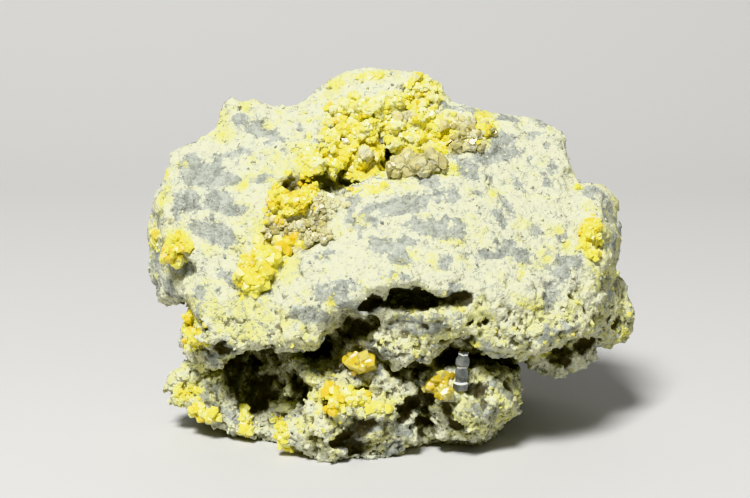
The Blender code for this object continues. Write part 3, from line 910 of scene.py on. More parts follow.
@dataclass(frozen=True)
class Limestone:
    """Pale sulfur-soaked cement round blue-grey clasts, with yellow specks, dark cracks, and painted shade in
    pits and deep hollows.
    """

    chalk: Colour = (0.79, 0.79, 0.565)
    cream: Colour = (0.78, 0.77, 0.33)
    grit: Colour = (0.42, 0.44, 0.36)
    clast: Colour = (0.21, 0.23, 0.21)
    clast_pale: Colour = (0.45, 0.47, 0.41)
    stain: Colour = (0.82, 0.68, 0.04)
    stain_pale: Colour = (0.82, 0.79, 0.20)
    # The next colour darkens fine cracks and paints shade in pits; the one after is painted shade for deep
    # hollows.
    crack_dark_and_pit_shade: Colour = (0.10, 0.085, 0.05)
    shade: Colour = (0.035, 0.032, 0.022)
    roughness: float = 0.88
    shine: float = 0.3

    relief: Grain = Grain(0.7, 4, 0.75)
    pimple: float = 1.2
    pimple_share: float = 0.7
    relief_depth: float = 0.6

    blots: Grain = Grain(7.0, 5, 0.65)
    blots_edge: Edge = Edge(0.38, 0.60)
    cream_by_stain: float = 0.12
    mottle: Grain = Grain(2.4, 8, 0.8)
    mottle_edge: Edge = Edge(0.49, 0.62, 0.85)

    lace: Grain = Grain(1.5, 6, 0.75, 2.2)
    bays: Grain = Grain(4.5, 4, 0.6, 2.4)
    clast_edge: Edge = Edge(-0.12, 0.2, 0.88)
    stone: Grain = Grain(3.2, 7, 0.8)
    stone_edge: Edge = Edge(0.38, 0.60)
    bits: Grain = Grain(3.0, 5, 0.7)
    bits_edge: Edge = Edge(0.56, 0.62, 0.6)

    wash: Grain = Grain(2.6, 6, 0.75, 3.0)
    wash_edge: Edge = Edge(-0.05, 0.55, 0.75)
    specks: Grain = Grain(1.3, 5, 0.7, 6.0)
    specks_edge: Edge = Edge(0.7, 1.1, 0.8)

    # Painted shade: soft darkening of enclosed hollows, and of pits.
    painted_shade_grain: Grain = Grain(4.0, 5, 0.7, 0.6)
    painted_shade_edge: Edge = Edge(0.27, 0.62, 0.93)
    pit_shade_edge: Edge = Edge(0.25, 1.0, 0.8)
    crack_spacing: float = 3.4
    crack_edge: Edge = Edge(0.05, 0.0)
    crack_stretches: Grain = Grain(2.8, 3, 0.6)
    crack_stretch_edge: Edge = Edge(0.52, 0.62)
    crack_strength: float = 0.8

    def material(self) -> bpy.types.Material:
        """Makes the finish.

        Returns:
            The material.
        """
        graph = Graph("limestone_breccia")
        colour = self.cement(graph)
        colour = self.clasts(graph, colour)
        colour = self.stained(graph, colour)
        colour = self.painted_shade_and_cracks(graph, colour)
        pimples = graph.maths("MULTIPLY", graph.cells(self.pimple), self.pimple_share)
        graph.bump(graph.maths("ADD", self.relief.value(graph), pimples), self.relief_depth)
        graph.set(Base_Color=colour, Roughness=self.roughness, Specular_IOR_Level=self.shine)
        return graph.material

    def cement(self, graph: Graph) -> bpy.types.NodeSocket:
        """The cement: chalky and cream blots, mottled with grey-green grit.

        Args:
            graph: The material's nodes.

        Returns:
            The colour.
        """
        soaked = graph.maths("MULTIPLY", graph.attribute("stain"), self.cream_by_stain)
        blots = graph.maths("ADD", self.blots.value(graph), soaked)
        cement = graph.mix(self.blots_edge.share(graph, blots), self.chalk, self.cream)
        return graph.mix(self.mottle_edge.share(graph, self.mottle.value(graph)), cement, self.grit)

    def clasts(self, graph: Graph, colour: bpy.types.NodeSocket) -> bpy.types.NodeSocket:
        """Grey pieces of older stone, with lacy rims, and small bits of them everywhere.

        Args:
            graph: The material's nodes.
            colour: The colour so far.

        Returns:
            The colour.
        """
        ragged = graph.maths("ADD", self.lace.centred(graph), self.bays.centred(graph))
        inside = graph.maths("ADD", graph.attribute("clast"), ragged)
        stone = graph.mix(self.stone_edge.share(graph, self.stone.value(graph)), self.clast, self.clast_pale)
        colour = graph.mix(self.clast_edge.share(graph, inside), colour, stone)
        return graph.mix(self.bits_edge.share(graph, self.bits.value(graph)), colour, self.clast_pale)

    def stained(self, graph: Graph, colour: bpy.types.NodeSocket) -> bpy.types.NodeSocket:
        """Yellow where sulfur soaks the stone, in a pale wash with strong specks.

        Args:
            graph: The material's nodes.
            colour: The colour so far.

        Returns:
            The colour.
        """
        stain = graph.attribute("stain")
        wash = graph.maths("ADD", stain, self.wash.centred(graph))
        colour = graph.mix(self.wash_edge.share(graph, wash), colour, self.stain_pale)
        specks = graph.maths("ADD", stain, self.specks.centred(graph))
        return graph.mix(self.specks_edge.share(graph, specks), colour, self.stain)

    def painted_shade_and_cracks(self, graph: Graph, colour: bpy.types.NodeSocket) -> bpy.types.NodeSocket:
        """Painted shade in the deep hollows and in pits, and dark lines along some stretches of fine cracks.

        Args:
            graph: The material's nodes.
            colour: The colour so far.

        Returns:
            The colour.
        """
        # Painted shade: darker where the deep mark says the skin is enclosed.
        deep = graph.maths("ADD", graph.attribute("deep"), self.painted_shade_grain.centred(graph))
        colour = graph.mix(self.painted_shade_edge.share(graph, deep), colour, self.shade)
        # Painted shade in pits.
        colour = graph.mix(self.pit_shade_edge.share(graph, graph.attribute("pit")), colour, self.crack_dark_and_pit_shade)
        crack = self.crack_edge.share(graph, graph.cells(self.crack_spacing, "DISTANCE_TO_EDGE"))
        stretch = self.crack_stretch_edge.share(graph, self.crack_stretches.value(graph))
        share = graph.maths("MULTIPLY", graph.maths("MULTIPLY", crack, stretch), self.crack_strength)
        return graph.mix(share, colour, self.crack_dark_and_pit_shade)


@dataclass(frozen=True)
class Crystal:
    """A resinous or waxy crystal, frosted pale outside, and deeper and darker in its recesses, partly its own
    colour and partly painted shade.

    A band is the spacing of pale growth lines in millimetres, or 0 for none.
    """

    name: str
    pale: Colour
    middle: Colour
    deep: Colour
    roughness: float
    ior: float
    glow: float
    clear: float = 0.0
    band: float = 0.0
    glow_reach: float = 0.0015
    glow_colours: Colour = (1.0, 0.85, 0.3)
    cloud: Grain = Grain(1.6, 5, 0.65, 1.1)
    middle_edge: Edge = Edge(0.05, 0.5)
    deep_edge: Edge = Edge(0.55, 1.05)
    relief: Grain = Grain(0.5, 3, 0.6)
    relief_depth: float = 0.12
    relief_share: float = 0.4
    wave: Grain = Grain(6.0, 2, 0.5)
    wave_height: float = 0.5
    line_edge: Edge = Edge(0.86, 0.93)

    def banded(self, graph: Graph, colour: bpy.types.NodeSocket) -> bpy.types.NodeSocket:
        """Pale growth lines across an upright crystal.

        Args:
            graph: The material's nodes.
            colour: The colour so far.

        Returns:
            The colour.
        """
        parts = graph.tree.nodes.new("ShaderNodeSeparateXYZ")
        graph.link(graph.object, parts.inputs[0])
        uneven = graph.maths("MULTIPLY", self.wave.value(graph), self.wave_height)
        level = graph.maths("ADD", graph.maths("DIVIDE", parts.outputs["Z"], self.band * MM), uneven)
        return graph.mix(self.line_edge.share(graph, graph.maths("FRACT", level)), colour, self.pale)

    def material(self) -> bpy.types.Material:
        """Makes the finish.

        Returns:
            The material.
        """
        graph = Graph(self.name)
        share = graph.maths("ADD", graph.attribute("tint"), self.cloud.centred(graph))
        colour = graph.mix(self.middle_edge.share(graph, share), self.pale, self.middle)
        # Deeper and darker colour where the tint is high, as in recesses: partly painted shade.
        colour = graph.mix(self.deep_edge.share(graph, share), colour, self.deep)
        if self.band:
            colour = self.banded(graph, colour)
        graph.bump(self.relief.value(graph), self.relief_depth, self.relief_share)
        graph.set(
            Base_Color=colour,
            Roughness=self.roughness,
            IOR=self.ior,
            Subsurface_Weight=self.glow,
            Subsurface_Scale=self.glow_reach,
            Subsurface_Radius=self.glow_colours,
            Transmission_Weight=self.clear,
        )
        return graph.material


@dataclass(frozen=True)
class Floor:
    """A plain pale table top."""

    colour: Colour = (0.55, 0.545, 0.53)
    roughness: float = 0.7

    def material(self) -> bpy.types.Material:
        """Makes the finish.

        Returns:
            The material.
        """
        graph = Graph("pale_floor")
        graph.set(Base_Color=self.colour, Roughness=self.roughness)
        return graph.material


SULFUR = Crystal(
    "sulfur_crystal",
    pale=(0.90, 0.88, 0.44),
    middle=(0.89, 0.81, 0.12),
    deep=(0.85, 0.62, 0.02),
    roughness=0.36,
    ior=1.9,
    glow=0.4,
)
AMBER = Crystal(
    "honey_sulfur",
    pale=(0.82, 0.74, 0.22),
    middle=(0.74, 0.56, 0.05),
    deep=(0.46, 0.29, 0.02),
    roughness=0.16,
    ior=1.95,
    glow=0.3,
    clear=0.25,
)
CALCITE = Crystal(
    "beige_calcite",
    pale=(0.87, 0.83, 0.51),
    middle=(0.77, 0.71, 0.38),
    deep=(0.54, 0.48, 0.20),
    roughness=0.18,
    ior=1.6,
    glow=0.4,
    clear=0.25,
)
GREY = Crystal(
    "grey_calcite_column",
    pale=(0.80, 0.81, 0.76),
    middle=(0.22, 0.23, 0.21),
    deep=(0.10, 0.11, 0.10),
    roughness=0.25,
    ior=1.6,
    glow=0.1,
    clear=0.1,
    band=5.0,
)


# ---------------------------------------------------------------- rock


@dataclass
class Rock:
    """The block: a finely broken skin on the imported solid."""

    node: str = "matrix_rock"
    coarse: float = 1.5
    fine: float = 0.54
    crumbly_top: float = 66.0
    crumbly_fade: float = 28.0
    sunk_share: float = 0.45
    rear_calm: float = 0.65
    block: float = 8.0
    chip: float = 3.4
    grain: float = 1.5
    wash: float = -0.04
    # How much more painted shade the pits get low down.
    low_pit_shade: float = 0.9
    probes: int = 10
    probe: float = 13.0
    rear: float = 25.0
    rear_share: float = 0.3
    rear_turn: float = 0.2
    wilder_blocks: float = 1.6
    wilder_chips: float = 1.9
    tilt: float = 0.13
    block_step: float = 0.42
    chip_step: float = 0.17
    grain_tilt: float = 0.20
    grain_step: float = 0.09
    soft: float = 0.2
    soft_size: float = 1.6
    clast_calm: float = 0.6
    clast_sunk: float = 0.2
    clast_rim: float = 0.6
    wild_clasts: float = 11.0
    wild_stains: float = 13.0
    stains_aside: float = 40.0
    wild_rear: float = 0.12
    wild_front: float = 0.42
    wild_contrast: float = 2.5
    stain_front: float = 0.5
    patch_fade: float = 3.0
    wash_fade: float = 6.0
    pit_depth: float = 0.9
    pit_level: int = 5
    deep_level: int = 6

    def build(self) -> bpy.types.Object:
        """Models and dresses the block.

        Returns:
            The finished object.
        """
        rock = copied(self.node, "limestone_block")
        self.surface = tree_of([rock])
        remesh(rock, self.coarse)
        apply(rock, "SMOOTH", factor=0.5, iterations=3)
        dent(rock, self.surface)
        self.break_up(rock)
        remesh(rock, self.fine)
        self.roughen(rock)
        self.thin_rear(rock)
        thin(rock, TRIANGLE_LIMIT)
        place(rock, places(rock))
        self.mark(rock)
        rock.data.materials.append(Limestone().material())
        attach(rock, BODY)
        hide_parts(self.node)
        return rock

    def crumbly(self, corner: np.ndarray) -> float:
        """How broken the rock is: most in front, low down.

        Args:
            corner: A place in millimetres.

        Returns:
            A number from 0 to 1.
        """
        low = min(max((self.crumbly_top - corner[2]) / self.crumbly_fade, 0.0), 1.0)
        return low * (1 - self.rear_calm * min(max(corner[1] / self.rear, 0.0), 1.0))

    def break_up(self, rock: bpy.types.Object) -> None:
        """Breaks the skin into tilted facets, a few millimetres wide.

        Args:
            rock: The block.
        """
        corners = places(rock)
        outward = normals(rock)
        heights = np.empty(len(corners))
        for index, corner in enumerate(corners):
            wild = 1 + self.wilder_blocks * self.crumbly(corner)
            heights[index] = facets(Vector(corner), self.block, self.tilt * wild, self.block_step * wild)
        place(rock, corners + outward * heights[:, None])

    def roughen(self, rock: bpy.types.Object) -> None:
        """Adds chips, crumbs and pits.

        Args:
            rock: The block.
        """
        corners = places(rock)
        outward = normals(rock)
        inside = placed_depth(CLASTS, corners, self.surface)
        clast = smoothstep(inside, -self.clast_rim, self.clast_rim)
        heights = np.empty(len(corners))
        for index, corner in enumerate(corners):
            wild = 1 + self.wilder_chips * self.crumbly(corner)
            point = Vector(corner)
            rough = 1 - self.clast_calm * clast[index]
            chips = facets(point, self.chip, self.tilt * wild, self.chip_step * wild)
            grains = facets(point, self.grain, self.grain_tilt, self.grain_step * wild)
            soft = self.soft * noise.fractal(point / self.soft_size, 0.9, 2.1, 2)
            height = (chips + grains + soft) * rough
            kept = height if height > 0 else height * self.sunk_share
            heights[index] = kept - self.clast_sunk * clast[index]
        place(rock, corners + outward * heights[:, None])

    def thin_rear(self, rock: bpy.types.Object) -> None:
        """Leaves fewer and larger faces on the side away from the crystals.

        Args:
            rock: The block.
        """
        only(rock)
        away = np.array(SIGHT.forward)
        turned = normals(rock) @ away
        deep = places(rock)[:, 1]
        for vertex, turn, depth in zip(rock.data.vertices, turned, deep):
            vertex.select = turn > self.rear_turn or depth > self.rear
        bpy.ops.object.mode_set(mode="EDIT")
        bpy.ops.mesh.select_mode(type="VERT")
        bpy.ops.mesh.decimate(ratio=self.rear_share)
        bpy.ops.object.mode_set(mode="OBJECT")

    def mark(self, rock: bpy.types.Object) -> None:
        """Keeps where clasts and stains are, for the finish, and how pitted and enclosed each corner is, for
        its painted shade.

        Args:
            rock: The block.
        """
        corners = places(rock)
        outward = normals(rock)
        facing = smoothstep(outward @ -np.array(SIGHT.forward), -0.05, 0.35)
        record(rock, "clast", np.clip(self.clast_marks(corners, facing), -1, 1))
        record(rock, "stain", np.clip(self.stain_marks(corners, facing), -1, 1))
        # Painted shade: pits, more of it low down, and enclosed hollows.
        bottom = self.crumbly_top - self.crumbly_fade
        lower = 1 + self.low_pit_shade * smoothstep(corners[:, 2], self.crumbly_top, bottom)
        record(rock, "pit", self.hollowness(rock) * lower)
        deep = shelter(corners, outward, self.surface, self.probes, self.probe)
        record(rock, "deep", levelled(rock, deep[:, None], self.deep_level)[:, 0])

    def clast_marks(self, corners: np.ndarray, facing: np.ndarray) -> np.ndarray:
        """How far inside a clast each corner is: placed ones, and others mostly behind.

        Args:
            corners: Places in millimetres, one a row.
            facing: How far each faces the camera, from 0 to 1.

        Returns:
            Numbers, above 0 inside a clast.
        """
        wild = np.array([noise.fractal(Vector(corner) / self.wild_clasts, 0.9, 2.2, 3) for corner in corners])
        behind = (wild - self.wild_rear) * self.wild_contrast * (1 - facing)
        before = (wild - self.wild_front) * self.wild_contrast * facing
        return np.maximum(placed_depth(CLASTS, corners, self.surface) / self.patch_fade, behind + before)

    def stain_marks(self, corners: np.ndarray, facing: np.ndarray) -> np.ndarray:
        """How much sulfur soaks each corner: placed stains and washes, and others mostly behind.

        Args:
            corners: Places in millimetres, one a row.
            facing: How far each faces the camera, from 0 to 1.

        Returns:
            Numbers, above 0 inside a stain.
        """
        aside = Vector((self.stains_aside, 0, 0))
        points = (Vector(corner) / self.wild_stains + aside for corner in corners)
        wild = np.array([noise.fractal(point, 0.7, 2.3, 4) for point in points])
        stain = placed_depth(SULFUR_STAINS, corners, self.surface) / self.patch_fade
        wash = placed_depth(WASHES, corners, self.surface) / self.wash_fade
        placed = np.maximum(stain, np.minimum(wash, self.wash))
        return np.maximum(placed, (wild - self.wild_front - self.stain_front * facing) * self.wild_contrast)

    def hollowness(self, rock: bpy.types.Object) -> np.ndarray:
        """How far each corner lies below the skin round it.

        Args:
            rock: The block.

        Returns:
            Numbers from 0 to 1.
        """
        corners = places(rock)
        below = np.einsum("ij,ij->i", levelled(rock, corners, self.pit_level) - corners, normals(rock))
        return np.clip(below / self.pit_depth, 0, 1)


# ---------------------------------------------------------------- crystals


class Habit(Enum):
    """The shapes that crystals of a kind take."""

    BIPYRAMID = "bipyramid"
    BLOCKY = "blocky"
    CRUMB = "crumb"


@dataclass(frozen=True)
class Form:
    """A family of equal faces: a direction, how many round the axis, and their distance from the middle."""

    lean: float
    sides: int
    distance: float
    start: float = 0.0
    both_ends: bool = True


FORMS = {
    Habit.BIPYRAMID: [
        [Form(28, 4, 0.62, 45), Form(62, 4, 0.74, 45), Form(90, 1, 0.78)],
        [Form(28, 4, 0.55, 45), Form(55, 2, 0.74, 90), Form(90, 1, 0.86)],
        [Form(24, 4, 0.66, 45), Form(70, 4, 0.7, 45), Form(50, 2, 0.8, 0)],
    ],
    Habit.CRUMB: [
        [Form(20, 3, 0.66), Form(60, 2, 0.72, 60)],
        [Form(35, 3, 0.7), Form(5, 1, 0.7)],
        [Form(50, 3, 0.7, 20), Form(0, 2, 0.78)],
    ],
    Habit.BLOCKY: [
        [Form(0, 6, 0.62), Form(45, 3, 0.66, 30)],
        [Form(0, 6, 0.7), Form(35, 6, 0.78, 30), Form(90, 1, 0.74)],
        [Form(20, 3, 0.62), Form(60, 3, 0.72, 60)],
    ],
}


@dataclass
class CrystalKit:
    """Crystals modelled once, as the corners and triangles of flat-faced solids of half-length about 1."""

    jitter: float = 0.07

    def cut(self, habit: Habit, variant: int) -> Shape:
        """Cuts one crystal out of a block, face by face.

        Args:
            habit: The kind of crystal.
            variant: Which of its shapes.

        Returns:
            Its corners and its triangles, one a row.
        """
        forms = FORMS[habit][variant % len(FORMS[habit])]
        rng = random.Random(100 * variant + len(habit.value))
        bpy.ops.object.select_all(action="DESELECT")
        bpy.ops.mesh.primitive_cube_add(size=2.0)
        block = bpy.context.active_object
        bpy.ops.object.mode_set(mode="EDIT")
        for form in forms:
            for end in (1, -1) if form.both_ends else (1,):
                for side in range(form.sides):
                    self.face(form, side, end, rng)
        bpy.ops.mesh.select_all(action="SELECT")
        bpy.ops.mesh.quads_convert_to_tris()
        bpy.ops.mesh.normals_make_consistent(inside=False)
        bpy.ops.object.mode_set(mode="OBJECT")
        corners = np.array([vertex.co for vertex in block.data.vertices])
        faces = np.array([polygon.vertices for polygon in block.data.polygons])
        bpy.data.objects.remove(block)
        return corners, faces

    def face(self, form: Form, side: int, end: int, rng: random.Random) -> None:
        """Cuts one face.

        Args:
            form: The family that it belongs to.
            side: Which face of the family.
            end: 1 for the upper end and -1 for the lower.
            rng: What makes it a little uneven.
        """
        around = math.radians(form.start + 360 * side / form.sides)
        lean = math.radians(form.lean)
        level = math.cos(lean)
        normal = Vector((math.cos(around) * level, math.sin(around) * level, end * math.sin(lean)))
        distance = form.distance * (1 + rng.uniform(-self.jitter, self.jitter))
        bpy.ops.mesh.select_all(action="SELECT")
        bpy.ops.mesh.bisect(plane_co=normal * distance, plane_no=normal, use_fill=True, clear_outer=True)

    def all(self, habit: Habit) -> list[Shape]:
        """Every shape of a habit, twice over with other uneven cuts."""
        return [self.cut(habit, variant) for variant in range(2 * len(FORMS[habit]))]


@dataclass(frozen=True)
class Crust:
    """Crystals on one node's bed, and those strewn over patches round it.

    The density counts crystals for each square millimetre of the bed; the tone is how deep their colour is.
    """

    node: str
    habit: Habit
    finish: Crystal
    slot: str
    density: float
    size: tuple[float, float]
    patches: tuple[Patch, ...] = ()
    strewn: int = 0
    tone: float = 0.5
    sink: float = 0.5


def spot(across: float, down: float, wide: float, high: float, turn: float = 0.0) -> Patch:
    """A patch for strewn crystals, which needs no telling name."""
    return Patch("spot", (across, down), (wide, high), turn)


def sulfur(node: str, patches: tuple[Patch, ...], strewn: int, tone: float = 0.5, **changes: object) -> Crust:
    """A crust of sulfur crystals."""
    values = {"density": 0.82, "size": (0.4, 2.0)} | changes
    return Crust(node, Habit.BIPYRAMID, SULFUR, "sulfur", patches=patches, strewn=strewn, tone=tone, **values)


def honey(
    node: str,
    patches: tuple[Patch, ...],
    strewn: int,
    density: float,
    size: tuple[float, float],
) -> Crust:
    """A crust of honey-coloured sulfur crystals."""
    return Crust(node, Habit.BIPYRAMID, AMBER, "honey_sulfur", density, size, patches, strewn)


def calcite(node: str, patches: tuple[Patch, ...], strewn: int, **changes: object) -> Crust:
    """A crust of calcite crystals."""
    values = {"density": 0.3, "size": (0.8, 2.6), "sink": 1.7} | changes
    return Crust(node, Habit.BLOCKY, CALCITE, "calcite", patches=patches, strewn=strewn, **values)


NODULES = {"density": 0.5, "size": (0.7, 2.6)}
CRUSTS = [
    sulfur(
        "upper_vug_sulfur",
        (spot(428, 138, 28, 24), spot(400, 138, 12, 14), spot(445, 169, 14, 6), spot(487, 130, 9, 20)),
        380,
        0.4,
    ),
    sulfur(
        "middle_vug_sulfur",
        (spot(350, 165, 44, 24, 5), spot(315, 160, 18, 22), spot(372, 190, 30, 6)),
        420,
        0.45,
    ),
    sulfur("brow_sulfur", (spot(352, 122, 32, 14, 8), spot(385, 118, 20, 20)), 300, 0.35),
    sulfur(
        "summit_sulfur",
        (spot(428, 88, 18, 15, 40), spot(402, 104, 26, 9), spot(372, 76, 16, 5)),
        300,
        0.4,
    ),
    calcite("upper_vug_calcite", (spot(455, 127, 16, 14), spot(451, 150, 6, 9), spot(408, 116, 9, 5)), 80),
    calcite(
        "centre_calcite",
        (spot(409, 163, 12, 12), spot(366, 155, 6, 5), spot(347, 142, 8, 4)),
        36,
        size=(1.4, 3.4),
        sink=2.6,
    ),
    sulfur("lower_vug_sulfur", (spot(292, 202, 22, 14), spot(278, 220, 12, 10)), 200, 0.8),
    calcite(
        "lower_vug_calcite",
        (spot(302, 236, 36, 20, -15), spot(330, 205, 18, 12)),
        320,
        density=0.5,
        size=(0.6, 1.9),
        tone=0.3,
    ),
    sulfur(
        "vug_tail_sulfur",
        (spot(262, 263, 16, 14), spot(248, 285, 9, 9), spot(288, 246, 18, 10, -15)),
        130,
        # Deeper tone: partly the crust's own colour, partly painted shade.
        0.72,
        density=0.35,
        size=(0.9, 3.4),
    ),
    # Its deeper tone is partly the crust's own colour, partly painted shade.
    sulfur("left_sulfur", (spot(176, 243, 13, 11), spot(155, 240, 4, 14)), 60, 0.78, **NODULES),
    sulfur("right_seam_sulfur", (spot(589, 232, 8, 22, 12), spot(578, 187, 4, 3)), 90, 0.8),
    sulfur("pocket_sulfur", (spot(196, 332, 11, 17, 20),), 90, 0.75),
    honey("arch_honey_sulfur", (spot(362, 357, 10, 7),), 5, 0.04, (1.4, 3.0)),
    honey("throat_amber_sulfur", (spot(444, 382, 7, 12),), 12, 0.1, (1.2, 2.6)),
    Crust("throat_column", Habit.BLOCKY, GREY, "grey_calcite", 0.0, (0.6, 1.2), tone=1.0),
    sulfur(
        "ridge_sulfur",
        (spot(338, 402, 22, 12, 20), spot(378, 408, 12, 5)),
        90,
        0.6,
        density=0.5,
        size=(0.6, 2.6),
    ),
    sulfur("left_underside_sulfur", (spot(204, 414, 12, 8), spot(196, 392, 12, 8)), 40, 0.6, **NODULES),
    sulfur("mid_underside_sulfur", (spot(246, 425, 9, 12), spot(236, 402, 12, 10)), 40, 0.6, **NODULES),
    sulfur("toe_sulfur", (spot(281, 438, 8, 14), spot(276, 420, 8, 6)), 40, 0.6, **NODULES),
]


def joined_mesh(
    name: str,
    corners: list[np.ndarray],
    faces: list[np.ndarray],
) -> tuple[bpy.types.Mesh, np.ndarray]:
    """Joins solids into one mesh.

    Args:
        name: The mesh's name.
        corners: The corners of each in millimetres.
        faces: The triangles of each, numbered through.

    Returns:
        The mesh, and its corners in millimetres.
    """
    mesh = bpy.data.meshes.new(name)
    joined = np.concatenate(corners)
    mesh.from_pydata((joined * MM).tolist(), [], np.concatenate(faces).tolist())
    return mesh, joined


@dataclass
class Druse:
    """Every crust of crystals on the block."""

    kit: CrystalKit
    rock: bpy.types.Object
    bed_voxel: float = 0.5
    bed_faces: int = 9000
    bed_density: float = 0.2
    lump: float = 3.2
    lump_grain: float = 1.4
    lump_grain_height: float = 0.3
    probes: int = 8
    probe: float = 7.0
    open_share: float = 0.35
    # Enclosed places take a deeper, darker colour: partly painted shade.
    enclosed_shade_tint: float = 0.6
    cluster: float = 3.2
    cluster_tint: float = 0.5
    crystal_tint: float = 0.13
    few_large: float = 3.2
    lean: float = 0.5
    buried: tuple[float, float] = (-0.6, 0.1)
    hollow_rim: float = -0.2
    spread: float = 0.65
    spread_limit: float = 1.6

    def build(self) -> None:
        """Models and dresses the crusts, one object a node."""
        self.stone = tree_of([self.rock])
        beds = {crust.node: self.bed(crust) for crust in CRUSTS}
        self.surface = tree_of([self.rock, *beds.values()])
        shapes = {habit: self.kit.all(habit) for habit in Habit}
        materials = {crust.finish: crust.finish.material() for crust in CRUSTS}
        for seed, crust in enumerate(CRUSTS):
            piece = self.grow(crust, beds[crust.node], shapes[crust.habit], random.Random(seed))
            piece.data.materials.append(materials[crust.finish])
            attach(piece, BODY)
            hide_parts(crust.node)
            log.info("%s: %d faces", piece.name, len(piece.data.polygons))

    def bed(self, crust: Crust) -> bpy.types.Object:
        """The intergrown mass under the crystals.

        Args:
            crust: The crust.

        Returns:
            A lumpy copy of its node.
        """
        bed = copied(crust.node, f"{crust.node}_crystals")
        if crust.density > 0:
            remesh(bed, self.bed_voxel)
        if crust.density > self.bed_density:
            corners = places(bed)
            heights = [self.lumps(Vector(corner)) - crust.sink for corner in corners]
            place(bed, corners + normals(bed) * np.array(heights)[:, None])
            dent(bed, self.stone)
        thin(bed, self.bed_faces)
        place(bed, places(bed))
        apply(bed, "TRIANGULATE")
        return bed

    def lumps(self, point: Vector) -> float:
        """The height of the bed's lumps.

        Args:
            point: A place in millimetres.

        Returns:
            The height in millimetres.
        """
        near, next_near = noise.voronoi(point / self.lump)[0][:2]
        grain = noise.fractal(point / self.lump_grain, 0.8, 2.0, 2)
        return 1.0 * (next_near - near) + self.lump_grain_height * grain

    def tints(self, crust: Crust, points: np.ndarray, outward: np.ndarray) -> np.ndarray:
        """How deep the colour is: frosted outside, deeper and darker in recesses, partly as painted shade, and
        changing in clusters.

        Args:
            crust: The crust.
            points: Places in millimetres, one a row.
            outward: The surface's normal at each.

        Returns:
            Numbers from about 0, pale, to 1, deep.
        """
        # Painted shade in part: the more enclosed, the deeper and darker the colour.
        enclosed = shelter(points, outward, self.surface, self.probes, self.probe)
        cluster = np.array([noise.noise(Vector(point) / self.cluster) for point in points])
        return crust.tone + self.enclosed_shade_tint * (enclosed - self.open_share) + self.cluster_tint * cluster

    def grow(
        self,
        crust: Crust,
        bed: bpy.types.Object,
        shapes: list[Shape],
        rng: random.Random,
    ) -> bpy.types.Object:
        """Sets crystals on and round a bed.

        Args:
            crust: The crust.
            bed: Its bed, which the crystals join.
            shapes: The crystals that they are copies of.
            rng: What chooses among them.

        Returns:
            The bed with its crystals.
        """
        seats = self.open_seats(self.bed_seats(crust, bed, rng) + self.strewn_seats(crust, rng))
        corners = [places(bed)]
        faces = [np.array([polygon.vertices for polygon in bed.data.polygons])]
        tints = [self.tints(crust, corners[0], normals(bed))]
        total = len(corners[0])
        if seats:
            middles = np.array([point for point, _ in seats])
            deep = self.tints(crust, middles, np.array([normal for _, normal in seats]))
        for index, (point, normal) in enumerate(seats):
            size = crust.size[0] + (crust.size[1] - crust.size[0]) * rng.random() ** self.few_large
            lean = Vector([rng.gauss(0, self.lean) for _ in range(3)])
            turn = (normal + lean).to_track_quat("Z", "Y") @ Quaternion((0, 0, 1), rng.uniform(0, math.tau))
            shape, sides = rng.choice(shapes)
            middle = point + normal * size * rng.uniform(*self.buried)
            corners.append(shape @ np.array(turn.to_matrix()).T * size + np.array(middle))
            faces.append(sides + total)
            tints.append(np.full(len(shape), deep[index] + rng.gauss(0, self.crystal_tint)))
            total += len(shape)
        bed.data, joined = joined_mesh(bed.name, corners, faces)
        place(bed, joined)
        record(bed, "tint", np.concatenate(tints))
        return bed

    def open_seats(self, seats: list[Seat]) -> list[Seat]:
        """Leaves the hollows of the druse free.

        Args:
            seats: Places and normals.

        Returns:
            Those outside the hollows.
        """
        if not seats:
            return seats
        points = np.array([point for point, _ in seats])
        sunk = [hollow.patch for hollow in DENTS if hollow.back > 0]
        depth = placed_depth(sunk, shaken(points), self.stone)
        return [seat for seat, inside in zip(seats, depth) if inside < self.hollow_rim]

    def bed_seats(self, crust: Crust, bed: bpy.types.Object, rng: random.Random) -> list[Seat]:
        """Places on the part of a bed that stands out of the stone.

        Args:
            crust: The crust.
            bed: Its bed.
            rng: What chooses them.

        Returns:
            Places and normals.
        """
        corners = places(bed)
        triangles = [polygon.vertices for polygon in bed.data.polygons]
        areas = [polygon.area / MM**2 for polygon in bed.data.polygons]
        seats = []
        for index in rng.choices(range(len(triangles)), areas, k=round(crust.density * sum(areas))):
            point = Vector(corners[list(triangles[index])].mean(axis=0))
            normal = bed.data.polygons[index].normal.copy()
            nearest, outward, _, _ = self.stone.find_nearest(point)
            if (point - nearest).dot(outward) > 0:
                seats.append((point, normal))
        return seats

    def strewn_seats(self, crust: Crust, rng: random.Random) -> list[Seat]:
        """Places round a bed, thinning out from the middle of each patch.

        Args:
            crust: The crust.
            rng: What chooses them.

        Returns:
            Places and normals.
        """
        seats = []
        for _ in range(crust.strewn):
            patch = rng.choice(crust.patches)
            radius = min(abs(rng.gauss(0, self.spread)), self.spread_limit)
            angle = rng.uniform(0, math.tau)
            along = radius * math.cos(angle) * patch.reach[0]
            over = radius * math.sin(angle) * patch.reach[1]
            turn = math.radians(patch.turn)
            across = patch.centre[0] + along * math.cos(turn) - over * math.sin(turn)
            down = patch.centre[1] + along * math.sin(turn) + over * math.cos(turn)
            point, normal, _, _ = self.surface.ray_cast(SIGHT.eye, SIGHT.ray((across, down)))
            if point is not None:
                seats.append((point, normal))
        return seats


# ---------------------------------------------------------------- crumbs


